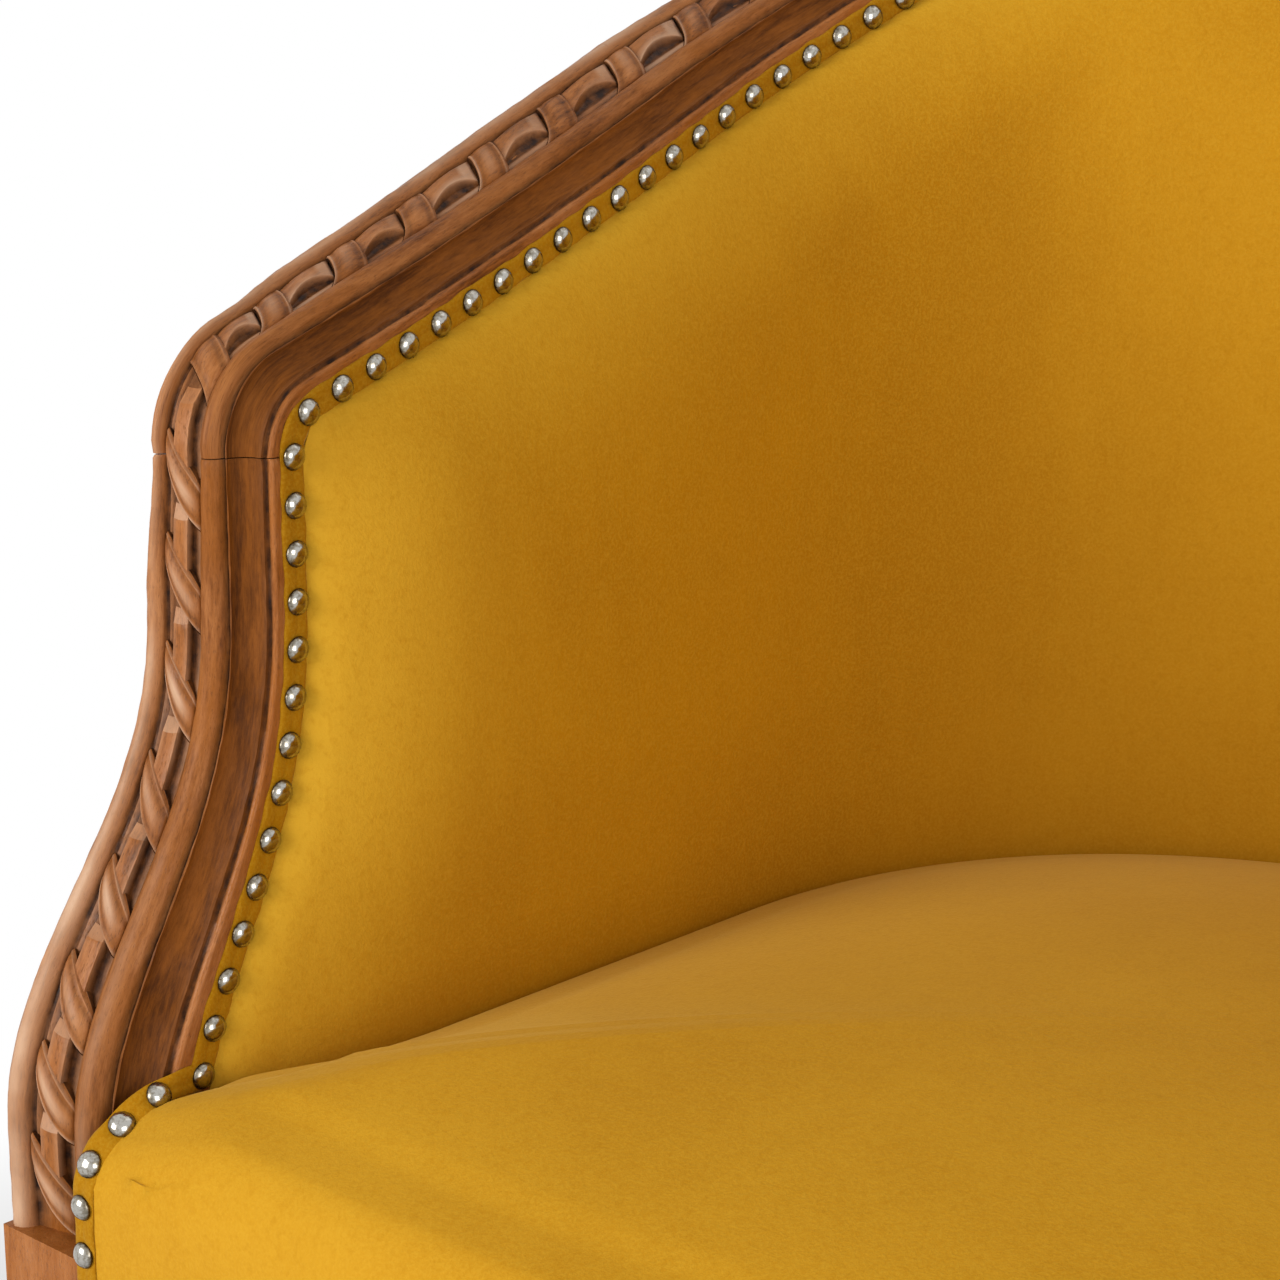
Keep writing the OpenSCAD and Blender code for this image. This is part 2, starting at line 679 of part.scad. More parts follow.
// A screw points along Z from its head; the mouth is the hole that it goes in by
module screw(grow = 0, mouth = 0) {
    head_d = screw_d * 2;
    translate([0, 0, -grow]) cylinder(d = screw_d + 2 * grow, h = brace_screw_l + 2 * grow);
    translate([0, 0, -grow - mouth]) cylinder(d = head_d + 2 * grow, h = 3 + 2 * grow + mouth);
}
module front_brace_screws(grow = 0, mouth = 0) {
    side = plan(brace_side_s[1] - screw_inset, side_face_o + screw_depth);
    front = brace_front(brace_front_x[1] - screw_inset);
    z = brace_z + brace_h / 2;
    translate([side.x, side.y, z]) rotate([0, -90, -arm_splay]) screw(grow, mouth);
    translate([front.x, front.y + screw_depth, z]) rotate([90, 0, 0]) screw(grow, mouth);
}
rear_brace_span = 14;
rear_brace_t = 32;
rear_screw_turn = 10.5;
module rear_brace_screws(grow = 0, mouth = 0) {
    for (side = [-1, 1])
        at_back(rear_leg_angle + side * rear_screw_turn)
            translate([back_r + rail_out - rail_t - screw_depth, 0, brace_z + brace_h / 2])
                rotate([0, 90, 0]) screw(grow, mouth);
}
module rear_brace(left) {
    outer = back_r + rail_out - rail_t - brace_gap;
    color(bare_wood_color) both_sides(left) difference() {
        at_back(rear_leg_angle + rear_brace_span) translate([0, 0, brace_z])
            rotate_extrude(angle = 2 * rear_brace_span, $fn = 180)
                translate([outer - rear_brace_t, 0]) square([rear_brace_t, brace_h]);
        rear_block(brace_gap);
        rear_brace_screws(pin_gap, 40);
    }
}
module brace_screws() {
    color(metal_color) for (left = [true, false]) both_sides(left) {
        front_brace_screws();
        rear_brace_screws();
    }
}
module rail_dowels() {
    color(bare_wood_color) for (left = [true, false]) both_sides(left) {
        front_dowels();
        side_dowels();
        rear_dowels();
    }
}

// Seat support
rear_inner_x = (back_r + rail_out + 1 - rear_block_w) * cos(rear_leg_angle)
    - rear_block_w / 2 * sin(rear_leg_angle);
strap_pitch = (rear_inner_x - web_w / 2 - 4) / 2;
strap_r = back_r + rail_out - rail_t * 0.7;
module webbing_lengthwise() {
    color(jute_color) for (k = [-2:2]) {
        x = k * strap_pitch;
        start = front_y(abs(x) - web_w / 2, -front_rail_t * 0.6);
        end = back_y + sqrt(strap_r ^ 2 - (abs(x) + web_w / 2) ^ 2);
        translate([x - web_w / 2, start, rail_bottom_z - layer_gap - web_t])
            cube([web_w, end - start, web_t]);
    }
}
module webbing_crosswise() {
    color(jute_color) for (k = [0:4]) {
        s = 20 + k * (web_w + 26);
        y = corner_y + s;
        side = -plan(s, -rail_out + rail_t * 0.7).x;
        half = y + web_w / 2 < back_y ? side
            : sqrt(strap_r ^ 2 - (y + web_w / 2 - back_y) ^ 2);
        translate([-half, y - web_w / 2, rail_bottom_z - 2 * layer_gap - 2 * web_t])
            cube([2 * half, web_w, web_t]);
    }
}

// A coil spring with an hourglass waist, swept with six sides
spring_low_z = rail_bottom_z + wire_d / 2 + layer_gap;
spring_high_z = rail_top_z - wire_d / 2 - layer_gap;
spring_waist = 0.68;
ring_steps = 10;
function spring_point(t) =
    let (r = spring_r * (spring_waist + (1 - spring_waist) * (2 * t - 1) ^ 2), q = 360 * spring_turns * t)
    [r * cos(q), r * sin(q), spring_low_z + (spring_high_z - spring_low_z) * ease(t)];
function wire_ring(t) =
    let (q = 360 * spring_turns * t, c = spring_point(t))
    [for (w = [0:60:300]) c + wire_d / 2 * [cos(w) * cos(q), cos(w) * sin(q), sin(w)]];
module seat_springs() {
    count = ring_steps * spring_turns;
    color(metal_color) for (i = [-1:1], j = [-1:1])
        translate([i * spring_pitch, corner_y + 140 + j * spring_pitch, 0])
            skin([for (k = [count:-1:0]) wire_ring(k / count)]);
}

// Padding depth of the inside cover at a length s and a height z on the left side
function edge_ease(t) = sin(90 * max(0, min(1, t / pad_roll))) ^ 0.7;
function lumbar(s) = lumbar_t * sin(heading(s)) ^ 4;
function depth_limit(z) = pad_seat_t
    + (pad_t - pad_seat_t) * ease(max(0, min(1, (z - seat_edge_z) / 100)));
pad_back = 0.4;
pad_edge_t = 1;
function pad_front(s, z, top) = pad_back
    + max(pad_edge_t, depth_limit(z) * edge_ease(top - z) * edge_ease(s))
    + lumbar(s) * edge_ease(top - z) * (top - z) / (top - pad_bottom_z);

// The cover's columns bend with the post near the front
band_half = band_w / 2 + 0.3;
fade_len = 130;
columns = [0, 4, 9, 16, 26, 38, 54, 76, 104, 136, 170, 204,
           for (s = steps(232, half_len, 13)) s];
rows = [0, 0.07, 0.14, 0.26, 0.38, 0.5, 0.6, 0.7, 0.8, 0.89, 0.96, 1];
function bent(s, z, lead) = s + lead(z) * max(0, 1 - s / fade_len);
lead_gap = 0.6;
pad_lead = function (z) sweep(z) + (band_half + lead_gap) / sin(sweep_pitch(z));
function pad_top(s) =
    let (in_r = corner_r - band_half, turn = corner_r - in_r * sin(arm_slope))
    s < turn ? post_top_z + sqrt(max(0, in_r ^ 2 - (corner_r - s) ^ 2))
        : nail_z(s) - band_half * sqrt(1 + slope(s) ^ 2);

// A sheet on the left side: rows of points for each column, at a given offset
module inside_cover() {
    front = [
        for (s = columns) let (top = pad_top(bent(s, post_top_z, pad_lead)))
            [for (v = rows) let (z = pad_bottom_z + (top - pad_bottom_z) * v)
                [each plan(bent(s, z, pad_lead), pad_front(s, z, top)), z]]
    ];
    back = [
        for (s = columns) let (top = pad_top(bent(s, post_top_z, pad_lead)))
            [for (v = rows) let (z = pad_bottom_z + (top - pad_bottom_z) * v)
                [each plan(bent(s, z, pad_lead), pad_back), z]]
    ];
    half = [for (i = [0:len(columns) - 1]) concat(back[i], reversed(front[i]))];
    color(velvet_color)
        skin(concat(half, [for (i = [len(half) - 2:-1:0]) flip(half[i])]));
}

// A thin sheet round the back between two offsets and two heights
module back_sheet(from_s, outer_o, inner_o, low_z, top_fn) {
    half = [
        for (s = columns) if (s >= from_s) let (top = top_fn(s))
            [
                [each plan(s, outer_o), low_z], [each plan(s, outer_o), top],
                [each plan(s, inner_o), top], [each plan(s, inner_o), low_z]
            ]
    ];
    skin(concat(half, [for (i = [len(half) - 2:-1:0]) flip(half[i])]));
}
hessian_t = 1.5;
module back_hessian() {
    color(jute_color)
        back_sheet(26, -2.7, hessian_t - 2.7, stay_z, function (s) under_z(s) - soft_gap);
}
strap_s = [60, 118, 246, 304, 362, 484, 542];
module back_webbing() {
    color(jute_color) for (left = [true, false], s = strap_s) both_sides(left) {
        p = plan(s, -stile_in + 0.4);
        top = under_z(s) - 2;
        tilt = slope(s) * web_w / 2;
        translate([p.x, p.y, 0]) rotate([0, 0, 90 - heading(s)]) rotate([90, 0, 0])
            linear_extrude(height = web_t - 0.3)
                polygon([
                    [-web_w / 2, stay_z], [web_w / 2, stay_z],
                    [web_w / 2, top + tilt], [-web_w / 2, top - tilt]
                ]);
    }
}

// The outside cover stands in the rebate under the show wood
outside_o = -frame_w + rebate_w - 0.3;
outside_lead = function (z) sweep(z) + (under_drop * growth(z) + soft_gap) / sin(sweep_pitch(z));
function outside_top(s) = nail_z(s)
    - (frame_d - rebate_h - nail_line_drop + soft_gap) * sqrt(1 + slope(s) ^ 2);
outside_rows = steps(0, 1, 7);
function outside_column(s, o) =
    let (low = rail_top_z + layer_gap, top = outside_top(bent(s, post_top_z, outside_lead)))
    [for (v = outside_rows) let (z = low + (top - low) * v)
        [each plan(bent(s, z, outside_lead), o), z]];
module outside_cover() {
    half = [
        for (s = columns)
            concat(outside_column(s, outside_o - outside_t), reversed(outside_column(s, outside_o)))
    ];
    color(velvet_color)
        skin(concat(half, [for (i = [len(half) - 2:-1:0]) flip(half[i])]));
}

// The seat: its outline in plan, from the middle of the front round to the back
seat_centre = [0, corner_y + inner_w / 5];
seat_front_out = border_proud;
wall_o = function (s) pad_back + max(pad_edge_t, pad_seat_t * edge_ease(s)) + lumbar(s) + soft_gap;
front_xs = steps(0, front_corner.x + 4, 7);
post_side = [
    [-post_sweep - 30, -block_in + soft_gap],
    [-post_sweep - 16, -3],
    [-post_sweep - 9, soft_gap + 0.2]
];
seat_half = concat(
    [for (x = front_xs) [x, front_y(x, seat_front_out)]],
    [for (p = post_side) plan(p[0], p[1])],
    [for (s = columns) plan(bent(s, pad_bottom_z, pad_lead), wall_o(s))]
);
front_count = len(front_xs) + 1;
seat_outline = concat(
    seat_half, [for (i = [len(seat_half) - 2:-1:1]) [-seat_half[i].x, seat_half[i].y]]
);
function edge_drop(i) =
    let (n = len(seat_half), k = i < n ? i : len(seat_outline) - i)
    k < front_count ? front_roll : k < front_count + 2 ? front_roll * 0.6 : 6;
function seat_ring(t, z_fn) = [
    for (i = [0:len(seat_outline) - 1])
        [each (seat_centre + t * (seat_outline[i] - seat_centre)), z_fn(i, t)]
];
cloth_z = rail_top_z + layer_gap;
cloth_t = 1.2;
skirt_z = cloth_z + cloth_t + layer_gap;
foam_top_z = skirt_z + foam_t;
skirt_in = 0.88;
seat_top = function (i, t) seat_edge_z + seat_crown * (1 - t ^ 2.4)
    - edge_drop(i) * max(0, (t - 0.93) / 0.07) ^ 1.6;
level = function (z) function (i, t) z;
module seat_cover() {
    under_z = foam_top_z + soft_gap;
    rings = concat(
        [seat_ring(0.02, level(under_z)), seat_ring(skirt_in, level(under_z)),
         seat_ring(skirt_in, level(skirt_z)), seat_ring(1, level(skirt_z))],
        [for (t = [1, 0.985, 0.965, 0.93, 0.86, 0.72, 0.5, 0.25, 0.02]) seat_ring(t, seat_top)]
    );
    color(velvet_color) difference() {
        skin(rings);
        for (left = [true, false]) both_sides(left)
            corner_strip(-layer_gap, 14, band_w / 2 + layer_gap);
    }
}
module seat_foam() {
    color("khaki") translate([0, 0, skirt_z]) linear_extrude(height = foam_t)
        polygon([for (p = seat_outline) seat_centre + (skirt_in - 0.004) * (p - seat_centre)]);
}
module spring_cloth() {
    color(jute_color) translate([0, 0, cloth_z]) linear_extrude(height = cloth_t)
        polygon([for (p = seat_outline) seat_centre + 0.985 * (p - seat_centre)]);
}
module dust_cover() {
    front = [for (x = steps(0, front_corner.x + 3, 6)) [x, front_y(x, -front_rail_t * 0.4)]];
    side_o = -rail_out + rail_t * 0.4;
    corner = [plan(block_back_s + 2, -block_in + 2), plan(block_back_s + 2, side_o)];
    half = concat(front, corner, [for (s = columns) plan(s, side_o)]);
    color("dimgray") difference() {
        translate([0, 0, rail_bottom_z - 2 * web_t - 3 * layer_gap - 1])
            linear_extrude(height = 1)
                polygon(concat(
                    half, [for (i = [len(half) - 2:-1:1]) [-half[i].x, half[i].y]]
                ));
        for (left = [true, false]) both_sides(left)
            at_back(rear_leg_angle)
                translate([back_r + rail_out - rear_block_w - 1, -rear_block_w / 2 - 2, 0])
                    cube([100, rear_block_w + 4, rail_bottom_z]);
    }
}

// Decorative nails stand on flat bands that cover the raw edges of the covers
module nail_head() {
    r = (nail_d ^ 2 / 4 + nail_h ^ 2) / (2 * nail_h);
    intersection() {
        translate([0, 0, nail_h - r]) sphere(r = r);
        cylinder(d = nail_d + 2, h = nail_h + 1);
    }
}
band_outline = function (low, high) [
    [frame_w + layer_gap, low - nail_line_drop], [frame_w + layer_gap, high - nail_line_drop],
    [frame_w + layer_gap + band_t, high - nail_line_drop],
    [frame_w + layer_gap + band_t, low - nail_line_drop]
];
function unscaled(st) = [st[0], st[1], st[2], 1, 0, 0];
band_foot_z = seat_edge_z + 3;
inside_line = concat(
    [post_station(band_foot_z)],
    [for (st = post_stations) if (st[0].z > band_foot_z + 4) st],
    [for (i = [1:len(corner_stations) - 1]) corner_stations[i]],
    arm_stations,
    [for (i = [1:len(crest_stations) - 1]) crest_stations[i]]
);
module inside_band() {
    half = [for (st = inside_line) ring(unscaled(st), band_outline(-band_w / 2, band_w / 2))];
    color(velvet_color)
        skin(concat(half, [for (i = [len(half) - 2:-1:0]) flip(half[i])]));
}

// Running length of a list of points, and a place on it at a given length
function lengths(points) = [
    for (i = 0, total = 0; i < len(points);
         total = total + (i + 1 < len(points) ? norm(points[i + 1] - points[i]) : 0), i = i + 1)
        total
];
function at_length(run, values, t) = lookup(t, [for (i = [0:len(run) - 1]) [run[i], values[i]]]);
module nail_row(points, headings, stand, outwards = false) {
    run = lengths(points);
    total = run[len(run) - 1];
    count = round(total / nail_pitch);
    for (k = [0:count]) {
        t = total * k / count;
        turn = at_length(run, headings, t);
        out = outwards ? -1 : 1;
        translate([
            at_length(run, [for (p = points) p.x], t) + out * stand * cos(turn),
            at_length(run, [for (p = points) p.y], t) - out * stand * sin(turn),
            at_length(run, [for (p = points) p.z], t)
        ]) rotate([0, out * 90, -turn]) nail_head();
    }
}
module inside_nails() {
    line = [for (st = inside_line) st[0]];
    turns = [for (st = inside_line) st[1]];
    mirrored = [for (i = [len(line) - 2:-1:0]) [-line[i].x, line[i].y, line[i].z]];
    color(metal_color)
        nail_row(concat(line, mirrored),
                 concat(turns, [for (i = [len(turns) - 2:-1:0]) 180 - turns[i]]),
                 band_t + 2 * layer_gap);
}

// The seat's band runs forward from the foot of each post, turns down beside the
// leg block and meets the row along the front rail. Each point of the corner path
// has an inward offset, a distance forward of the post and a height, then a normal.
vertical_f = -front_corner_s - post_sweep + seat_front_out + layer_gap + 0.35;
corner_o = -block_in + 1.6;
corner_path = [
    [[layer_gap, band_half - 1.6, band_foot_z - 0.5], [1, 0, 0]],
    [[layer_gap, 9.5, band_foot_z - 0.8], [1, 0, 0.1]],
    [[-0.3, 15.5, band_foot_z - 2], [0.85, 0.1, 0.5]],
    [[-1.9, 22, band_foot_z - 5], [0.7, 0.25, 0.66]],
    [[-3.9, 28.5, band_foot_z - 10], [0.55, 0.45, 0.7]],
    [[-5.8, 34.5, band_foot_z - 15], [0.4, 0.65, 0.64]],
    [[-7.7, 39.5, band_foot_z - 22], [0.2, 0.85, 0.45]],
    [[-9.1, vertical_f - 0.1, band_foot_z - 30], [0.05, 0.97, 0.22]],
    [[corner_o, vertical_f, band_foot_z - 38], [0, 1, 0.05]],
    [[corner_o, vertical_f, skirt_z], [0, 1, 0]]
];
function unit(v) = v / norm(v);
function at_post(v) =
    let (p = plan(-post_sweep - v[1], v[0])) [p.x, p.y, v[2]];
function turned(v) = [
    v[0] * cos(arm_splay) - v[1] * sin(arm_splay), -v[0] * sin(arm_splay) - v[1] * cos(arm_splay),
    v[2]
];
corner_points = [for (c = corner_path) at_post(c[0])];
corner_normals = [for (c = corner_path) unit(turned(c[1]))];
corner_across = [
    for (i = [0:len(corner_path) - 1])
        let (n = len(corner_path) - 1, ahead = corner_points[min(i + 1, n)] - corner_points[max(i - 1, 0)])
        unit(cross(corner_normals[i], ahead))
];
module corner_strip(low, high, half) {
    skin([
        for (i = [len(corner_path) - 1:-1:0])
            let (c = corner_points[i], across = half * corner_across[i], n = corner_normals[i])
            [c + across + low * n, c - across + low * n, c - across + high * n, c + across + high * n]
    ]);
}
corner_nail_at = [2, 4, 6];
corner_nail_zs = [band_foot_z - 37.5, band_foot_z - 55.5];
module corner_nails(stand) {
    for (i = corner_nail_at) {
        n = corner_normals[i];
        translate(corner_points[i] + stand * n)
            rotate([0, acos(n.z), atan2(n.y, n.x)]) nail_head();
    }
    for (z = corner_nail_zs)
        translate(at_post([corner_o, vertical_f + stand, z])) rotate([90, 0, -arm_splay])
            nail_head();
}
seat_band_z = skirt_z + band_w / 2;
module seat_band() {
    reach = -at_post([corner_o + band_w / 2 + 0.3, 0, 0]).x - 4;
    color(velvet_color) {
        for (left = [true, false]) both_sides(left) corner_strip(0, band_t, band_w / 2);
        translate([0, 0, skirt_z])
            linear_extrude(height = band_w)
                polygon([
                    for (x = steps(-reach, reach, 24)) [x, front_y(x, seat_front_out + layer_gap)],
                    for (x = steps(reach, -reach, 24))
                        [x, front_y(x, seat_front_out + layer_gap + band_t)]
                ]);
    }
}
module seat_nails() {
    reach = -at_post([corner_o, vertical_f, 0]).x;
    count = 2 * floor(reach / nail_pitch);
    stand = seat_front_out + band_t + 2 * layer_gap + 0.4;
    color(metal_color) {
        for (k = [0:count]) {
            x = reach * (2 * k / count - 1);
            translate([x, front_y(x, stand), seat_band_z])
                rotate([90, 0, asin(x / (front_r + stand))]) nail_head();
        }
        for (left = [true, false]) both_sides(left) corner_nails(band_t + layer_gap);
    }
}

// Outside bands and nails: along the seat rails, up the back of the posts and
// under the show wood. Each row is a list of centre points with headings.
band_inset = band_w / 2 + 1;
outside_face_o = outside_o - outside_t - layer_gap;
low_row_z = rail_top_z + layer_gap + band_inset;
low_front_s = outside_lead(low_row_z) + 1;
low_columns = [for (s = steps(low_front_s, arm_straight, 5)) s,
               for (s = steps(arm_straight + 24, half_len, 16)) s];
top_front_s = outside_lead(post_top_z) + 1;
top_columns = [for (s = steps(top_front_s, arm_straight, 8)) s,
               for (s = steps(arm_straight + 24, half_len, 16)) s];
function top_row_z(s) = outside_top(s) - band_inset * sqrt(1 + slope(s) ^ 2);
post_low_z = low_row_z + band_inset;
post_high_z = top_row_z(top_front_s) - band_inset;
post_zs = steps(post_low_z, post_high_z, 14);
function post_row_s(z) = outside_lead(z) + band_inset;
module row_strip(columns, z_fn, tall_fn) {
    half = [
        for (s = columns) let (z = z_fn(s), tall = tall_fn(s))
            [
                [each plan(s, outside_face_o - band_t), z - tall],
                [each plan(s, outside_face_o - band_t), z + tall],
                [each plan(s, outside_face_o), z + tall], [each plan(s, outside_face_o), z - tall]
            ]
    ];
    skin(concat(half, [for (i = [len(half) - 2:-1:0]) flip(half[i])]));
}
module post_strip() {
    skin([
        for (z = post_zs) let (s = post_row_s(z), half = band_w / 2)
            [
                [each plan(s - half, outside_face_o), z], [each plan(s + half, outside_face_o), z],
                [each plan(s + half, outside_face_o - band_t), z],
                [each plan(s - half, outside_face_o - band_t), z]
            ]
    ]);
}
module outside_band() {
    color(velvet_color) {
        row_strip(low_columns, function (s) low_row_z, function (s) band_w / 2);
        row_strip(top_columns, function (s) top_row_z(s),
                  function (s) band_w / 2 * sqrt(1 + slope(s) ^ 2));
        for (left = [true, false]) both_sides(left) post_strip();
    }
}
module outside_nails() {
    stand = band_t + layer_gap;
    both = function (list, flipped)
        concat(list, [for (i = [len(list) - 2:-1:0]) flipped(list[i])]);
    mirror_point = function (p) [-p.x, p.y, p.z];
    mirror_turn = function (a) 180 - a;
    low = [for (s = low_columns) if (s > low_front_s) s];
    top = [for (s = top_columns) if (s > top_front_s) s];
    color(metal_color) {
        nail_row(both([for (s = low) [each plan(s, outside_face_o), low_row_z]], mirror_point),
                 both([for (s = low) heading(s)], mirror_turn), stand, true);
        nail_row(both([for (s = top) [each plan(s, outside_face_o), top_row_z(s)]], mirror_point),
                 both([for (s = top) heading(s)], mirror_turn), stand, true);
        for (left = [true, false]) both_sides(left)
            nail_row([for (z = post_zs) [each plan(post_row_s(z), outside_face_o), z]],
                     [for (z = post_zs) arm_splay], stand, true);
    }
}

front_leg(true);  // front_leg_left
front_leg(false);  // front_leg_right
rear_leg(true);  // rear_leg_left
rear_leg(false);  // rear_leg_right
glide(true, true);  // glide_front_left
glide(false, true);  // glide_front_right
glide(true, false);  // glide_rear_left
glide(false, false);  // glide_rear_right
front_seat_rail();
side_seat_rail(true);  // side_seat_rail_left
side_seat_rail(false);  // side_seat_rail_right
back_seat_rail();
arm_post(true);  // arm_post_left
arm_post(false);  // arm_post_right
arm_rail(true);  // arm_rail_left
arm_rail(false);  // arm_rail_right
crest_rail();
side_upright(true);  // side_upright_left
side_upright(false);  // side_upright_right
back_upright();
stay_rail_side(true);  // stay_rail_left
stay_rail_side(false);  // stay_rail_right
stay_rail_back();
front_brace(true);  // front_brace_left
front_brace(false);  // front_brace_right
rear_brace(true);  // rear_brace_left
rear_brace(false);  // rear_brace_right
brace_screws();
rail_dowels();
webbing_lengthwise();
webbing_crosswise();
seat_springs();
spring_cloth();
seat_foam();
seat_cover();
dust_cover();
back_webbing();
back_hessian();
inside_cover();
outside_cover();
inside_band();
seat_band();
outside_band();
inside_nails();
seat_nails();
outside_nails();
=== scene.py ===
# Occasional chair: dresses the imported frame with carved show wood, velvet covers and nails
import json
import math
import bmesh
import bpy
import numpy as np
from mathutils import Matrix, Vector
from mathutils.geometry import delaunay_2d_cdt

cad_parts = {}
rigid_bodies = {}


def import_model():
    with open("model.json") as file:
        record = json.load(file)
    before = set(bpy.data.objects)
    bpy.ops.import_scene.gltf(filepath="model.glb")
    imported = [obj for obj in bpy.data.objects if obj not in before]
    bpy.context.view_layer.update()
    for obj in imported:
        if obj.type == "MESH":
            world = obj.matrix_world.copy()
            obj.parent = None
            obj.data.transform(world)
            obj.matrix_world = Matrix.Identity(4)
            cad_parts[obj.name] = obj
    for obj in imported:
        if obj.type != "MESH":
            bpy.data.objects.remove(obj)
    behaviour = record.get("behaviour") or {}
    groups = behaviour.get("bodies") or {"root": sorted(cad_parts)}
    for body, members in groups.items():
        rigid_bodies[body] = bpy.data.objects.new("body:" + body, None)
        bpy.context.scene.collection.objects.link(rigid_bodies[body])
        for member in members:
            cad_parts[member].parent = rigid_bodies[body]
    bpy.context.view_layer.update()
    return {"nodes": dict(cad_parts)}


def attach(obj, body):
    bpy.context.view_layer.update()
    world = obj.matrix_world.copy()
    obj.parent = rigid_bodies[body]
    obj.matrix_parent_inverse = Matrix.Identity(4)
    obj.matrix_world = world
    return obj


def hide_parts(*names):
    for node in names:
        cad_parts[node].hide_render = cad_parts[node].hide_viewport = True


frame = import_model()
nodes = frame["nodes"]
print("frame loaded:", len(nodes), "nodes")

# The nail line in plan and height, as the frame was built on it (metres and radians)
plan = {
    "innerWidth": 0.600,
    "armStraight": 0.218,
    "armSplay": math.radians(5.8),
    "postSweep": 0.054,
    "cornerY": -0.1959437,
    "backY": -0.0072949,
    "frontBow": 0.028,
}
heights = {
    "blockTop": 0.372,
    "seatEdge": 0.430,
    "sweepFoot": 0.410,
    "uprightLen": 0.040,
    "lag": 1.4,
    "corner": 0.661,
    "armSlope": math.radians(19.3),
    "steepen": 0.250,
    "climbLen": 0.330,
    "cornerRadius": 0.018,
    "padBottom": 0.400,
    "skirt": 0.35365,
}
wood = {
    "width": 0.047,
    "depth": 0.048,
    "tilt": math.radians(12),
    "outerBead": 0.0075,
    "channel": 0.016,
    "innerBead": 0.010,
    "beadHeight": 0.004,
    "groove": 0.0015,
    "cove": 0.009,
    "filletDrop": 0.002,
    "nailDrop": 0.031,
    "rebateWidth": 0.005,
    "rebateHeight": 0.008,
    "growth": 1.28,
    "faceFade": 0.020,
    "pinch": 0.0065,
    "pinchReach": 0.053,
    "pinchEnd": 0.036,
    "lift": 0.005,
    "liftReach": 0.140,
    "crestAt": 0.0038,
    "crestWidth": 0.0022,
    # The polish and its painted sheen on the bead crests
    "polishAndSheenWidth": 0.0034,
    "polishAndSheenTop": 0.520,
    "polishAndSheenFade": 0.060,
    "jointGap": 0.0004,
    "jointSoft": 0.0012,
    "jointShare": 0.03,
    "postStep": 0.0014,
    "stepReach": 0.026,
    "stepWidth": 0.012,
    "handwork": 0.00022,
}
splay = plan["armSplay"]
armStraight = plan["armStraight"]
backRadius = (plan["innerWidth"] / 2 - armStraight * math.sin(splay)) / math.cos(splay)
halfLen = armStraight + backRadius * (math.pi / 2 - splay)
climbLen = heights["climbLen"]
startSlope = math.tan(heights["armSlope"])
endSlope = startSlope + 2 * heights["steepen"] * climbLen
climbRise = startSlope * climbLen + heights["steepen"] * climbLen ** 2


def headingAt(s):
    return np.where(s < armStraight, splay, splay + (s - armStraight) / backRadius)


def planAt(s, o=0.0):
    s = np.asarray(s, float)
    o = np.asarray(o, float) + 0 * s
    turn = headingAt(s)
    straightX = -plan["innerWidth"] / 2 + s * math.sin(splay) + o * math.cos(splay)
    straightY = plan["cornerY"] + s * math.cos(splay) - o * math.sin(splay)
    roundX = -(backRadius - o) * np.cos(turn)
    roundY = plan["backY"] + (backRadius - o) * np.sin(turn)
    onArm = s < armStraight
    return np.stack([np.where(onArm, straightX, roundX), np.where(onArm, straightY, roundY)], -1)


def slopeAt(s):
    fall = 1 - (s - climbLen) / (halfLen - climbLen)
    return np.where(s < climbLen, startSlope + 2 * heights["steepen"] * s, endSlope * fall)


def nailHeight(s):
    low = startSlope * s + heights["steepen"] * s ** 2
    over = s - climbLen
    high = climbRise + endSlope * over * (1 - over / (2 * (halfLen - climbLen)))
    return heights["corner"] + np.where(s < climbLen, low, high)


cornerRadius = heights["cornerRadius"]
cornerEnd = cornerRadius * (1 - math.sin(heights["armSlope"]))
postTop = float(nailHeight(cornerEnd)) - cornerRadius * math.cos(heights["armSlope"])
sweepTop = postTop - heights["uprightLen"]
sweepFoot = heights["sweepFoot"]


def within(w):
    return np.clip(w, 0, 1)


def eased(w):
    return w * w * (3 - 2 * w)


def partWay(z):
    return within((sweepTop - z) / (sweepTop - sweepFoot))


def lagged(z):
    return partWay(z) ** heights["lag"]


def sweepAt(z):
    return -plan["postSweep"] * eased(lagged(z))


def growthAt(z):
    return 1 + (wood["growth"] - 1) * eased(lagged(z))


def sweepPitch(z):
    w = lagged(z)
    rate = heights["lag"] * partWay(z) ** (heights["lag"] - 1)
    rise = plan["postSweep"] * 6 * w * (1 - w) * rate / (sweepTop - sweepFoot)
    return math.pi / 2 - np.arctan(rise)


def onWay(value, start, length):
    return eased(within((value - start) / length))


def bell(value, middle, width, power=2):
    return np.exp(-(np.abs(value - middle) / width) ** power)


def unit(rows):
    return rows / np.linalg.norm(rows, axis=1)[:, None]


def belowNails(s, drop):
    # The height of a line that runs below the nail line, the drop taken square to it
    return nailHeight(s) - drop * np.sqrt(1 + slopeAt(s) ** 2)


def spaceAt(s, z, o=0.0):
    return np.concatenate([planAt(s, o), np.asarray(z)[..., None]], -1)


mirror = np.array([-1, 1, 1])


def bothHalves(half):
    # Rows that run from the left front to the middle of the back, and on to the right front
    return np.concatenate([half, half[-2::-1] * mirror])


def joined(*parts):
    return {key: np.concatenate([p[key] for p in parts]) for key in parts[0]}


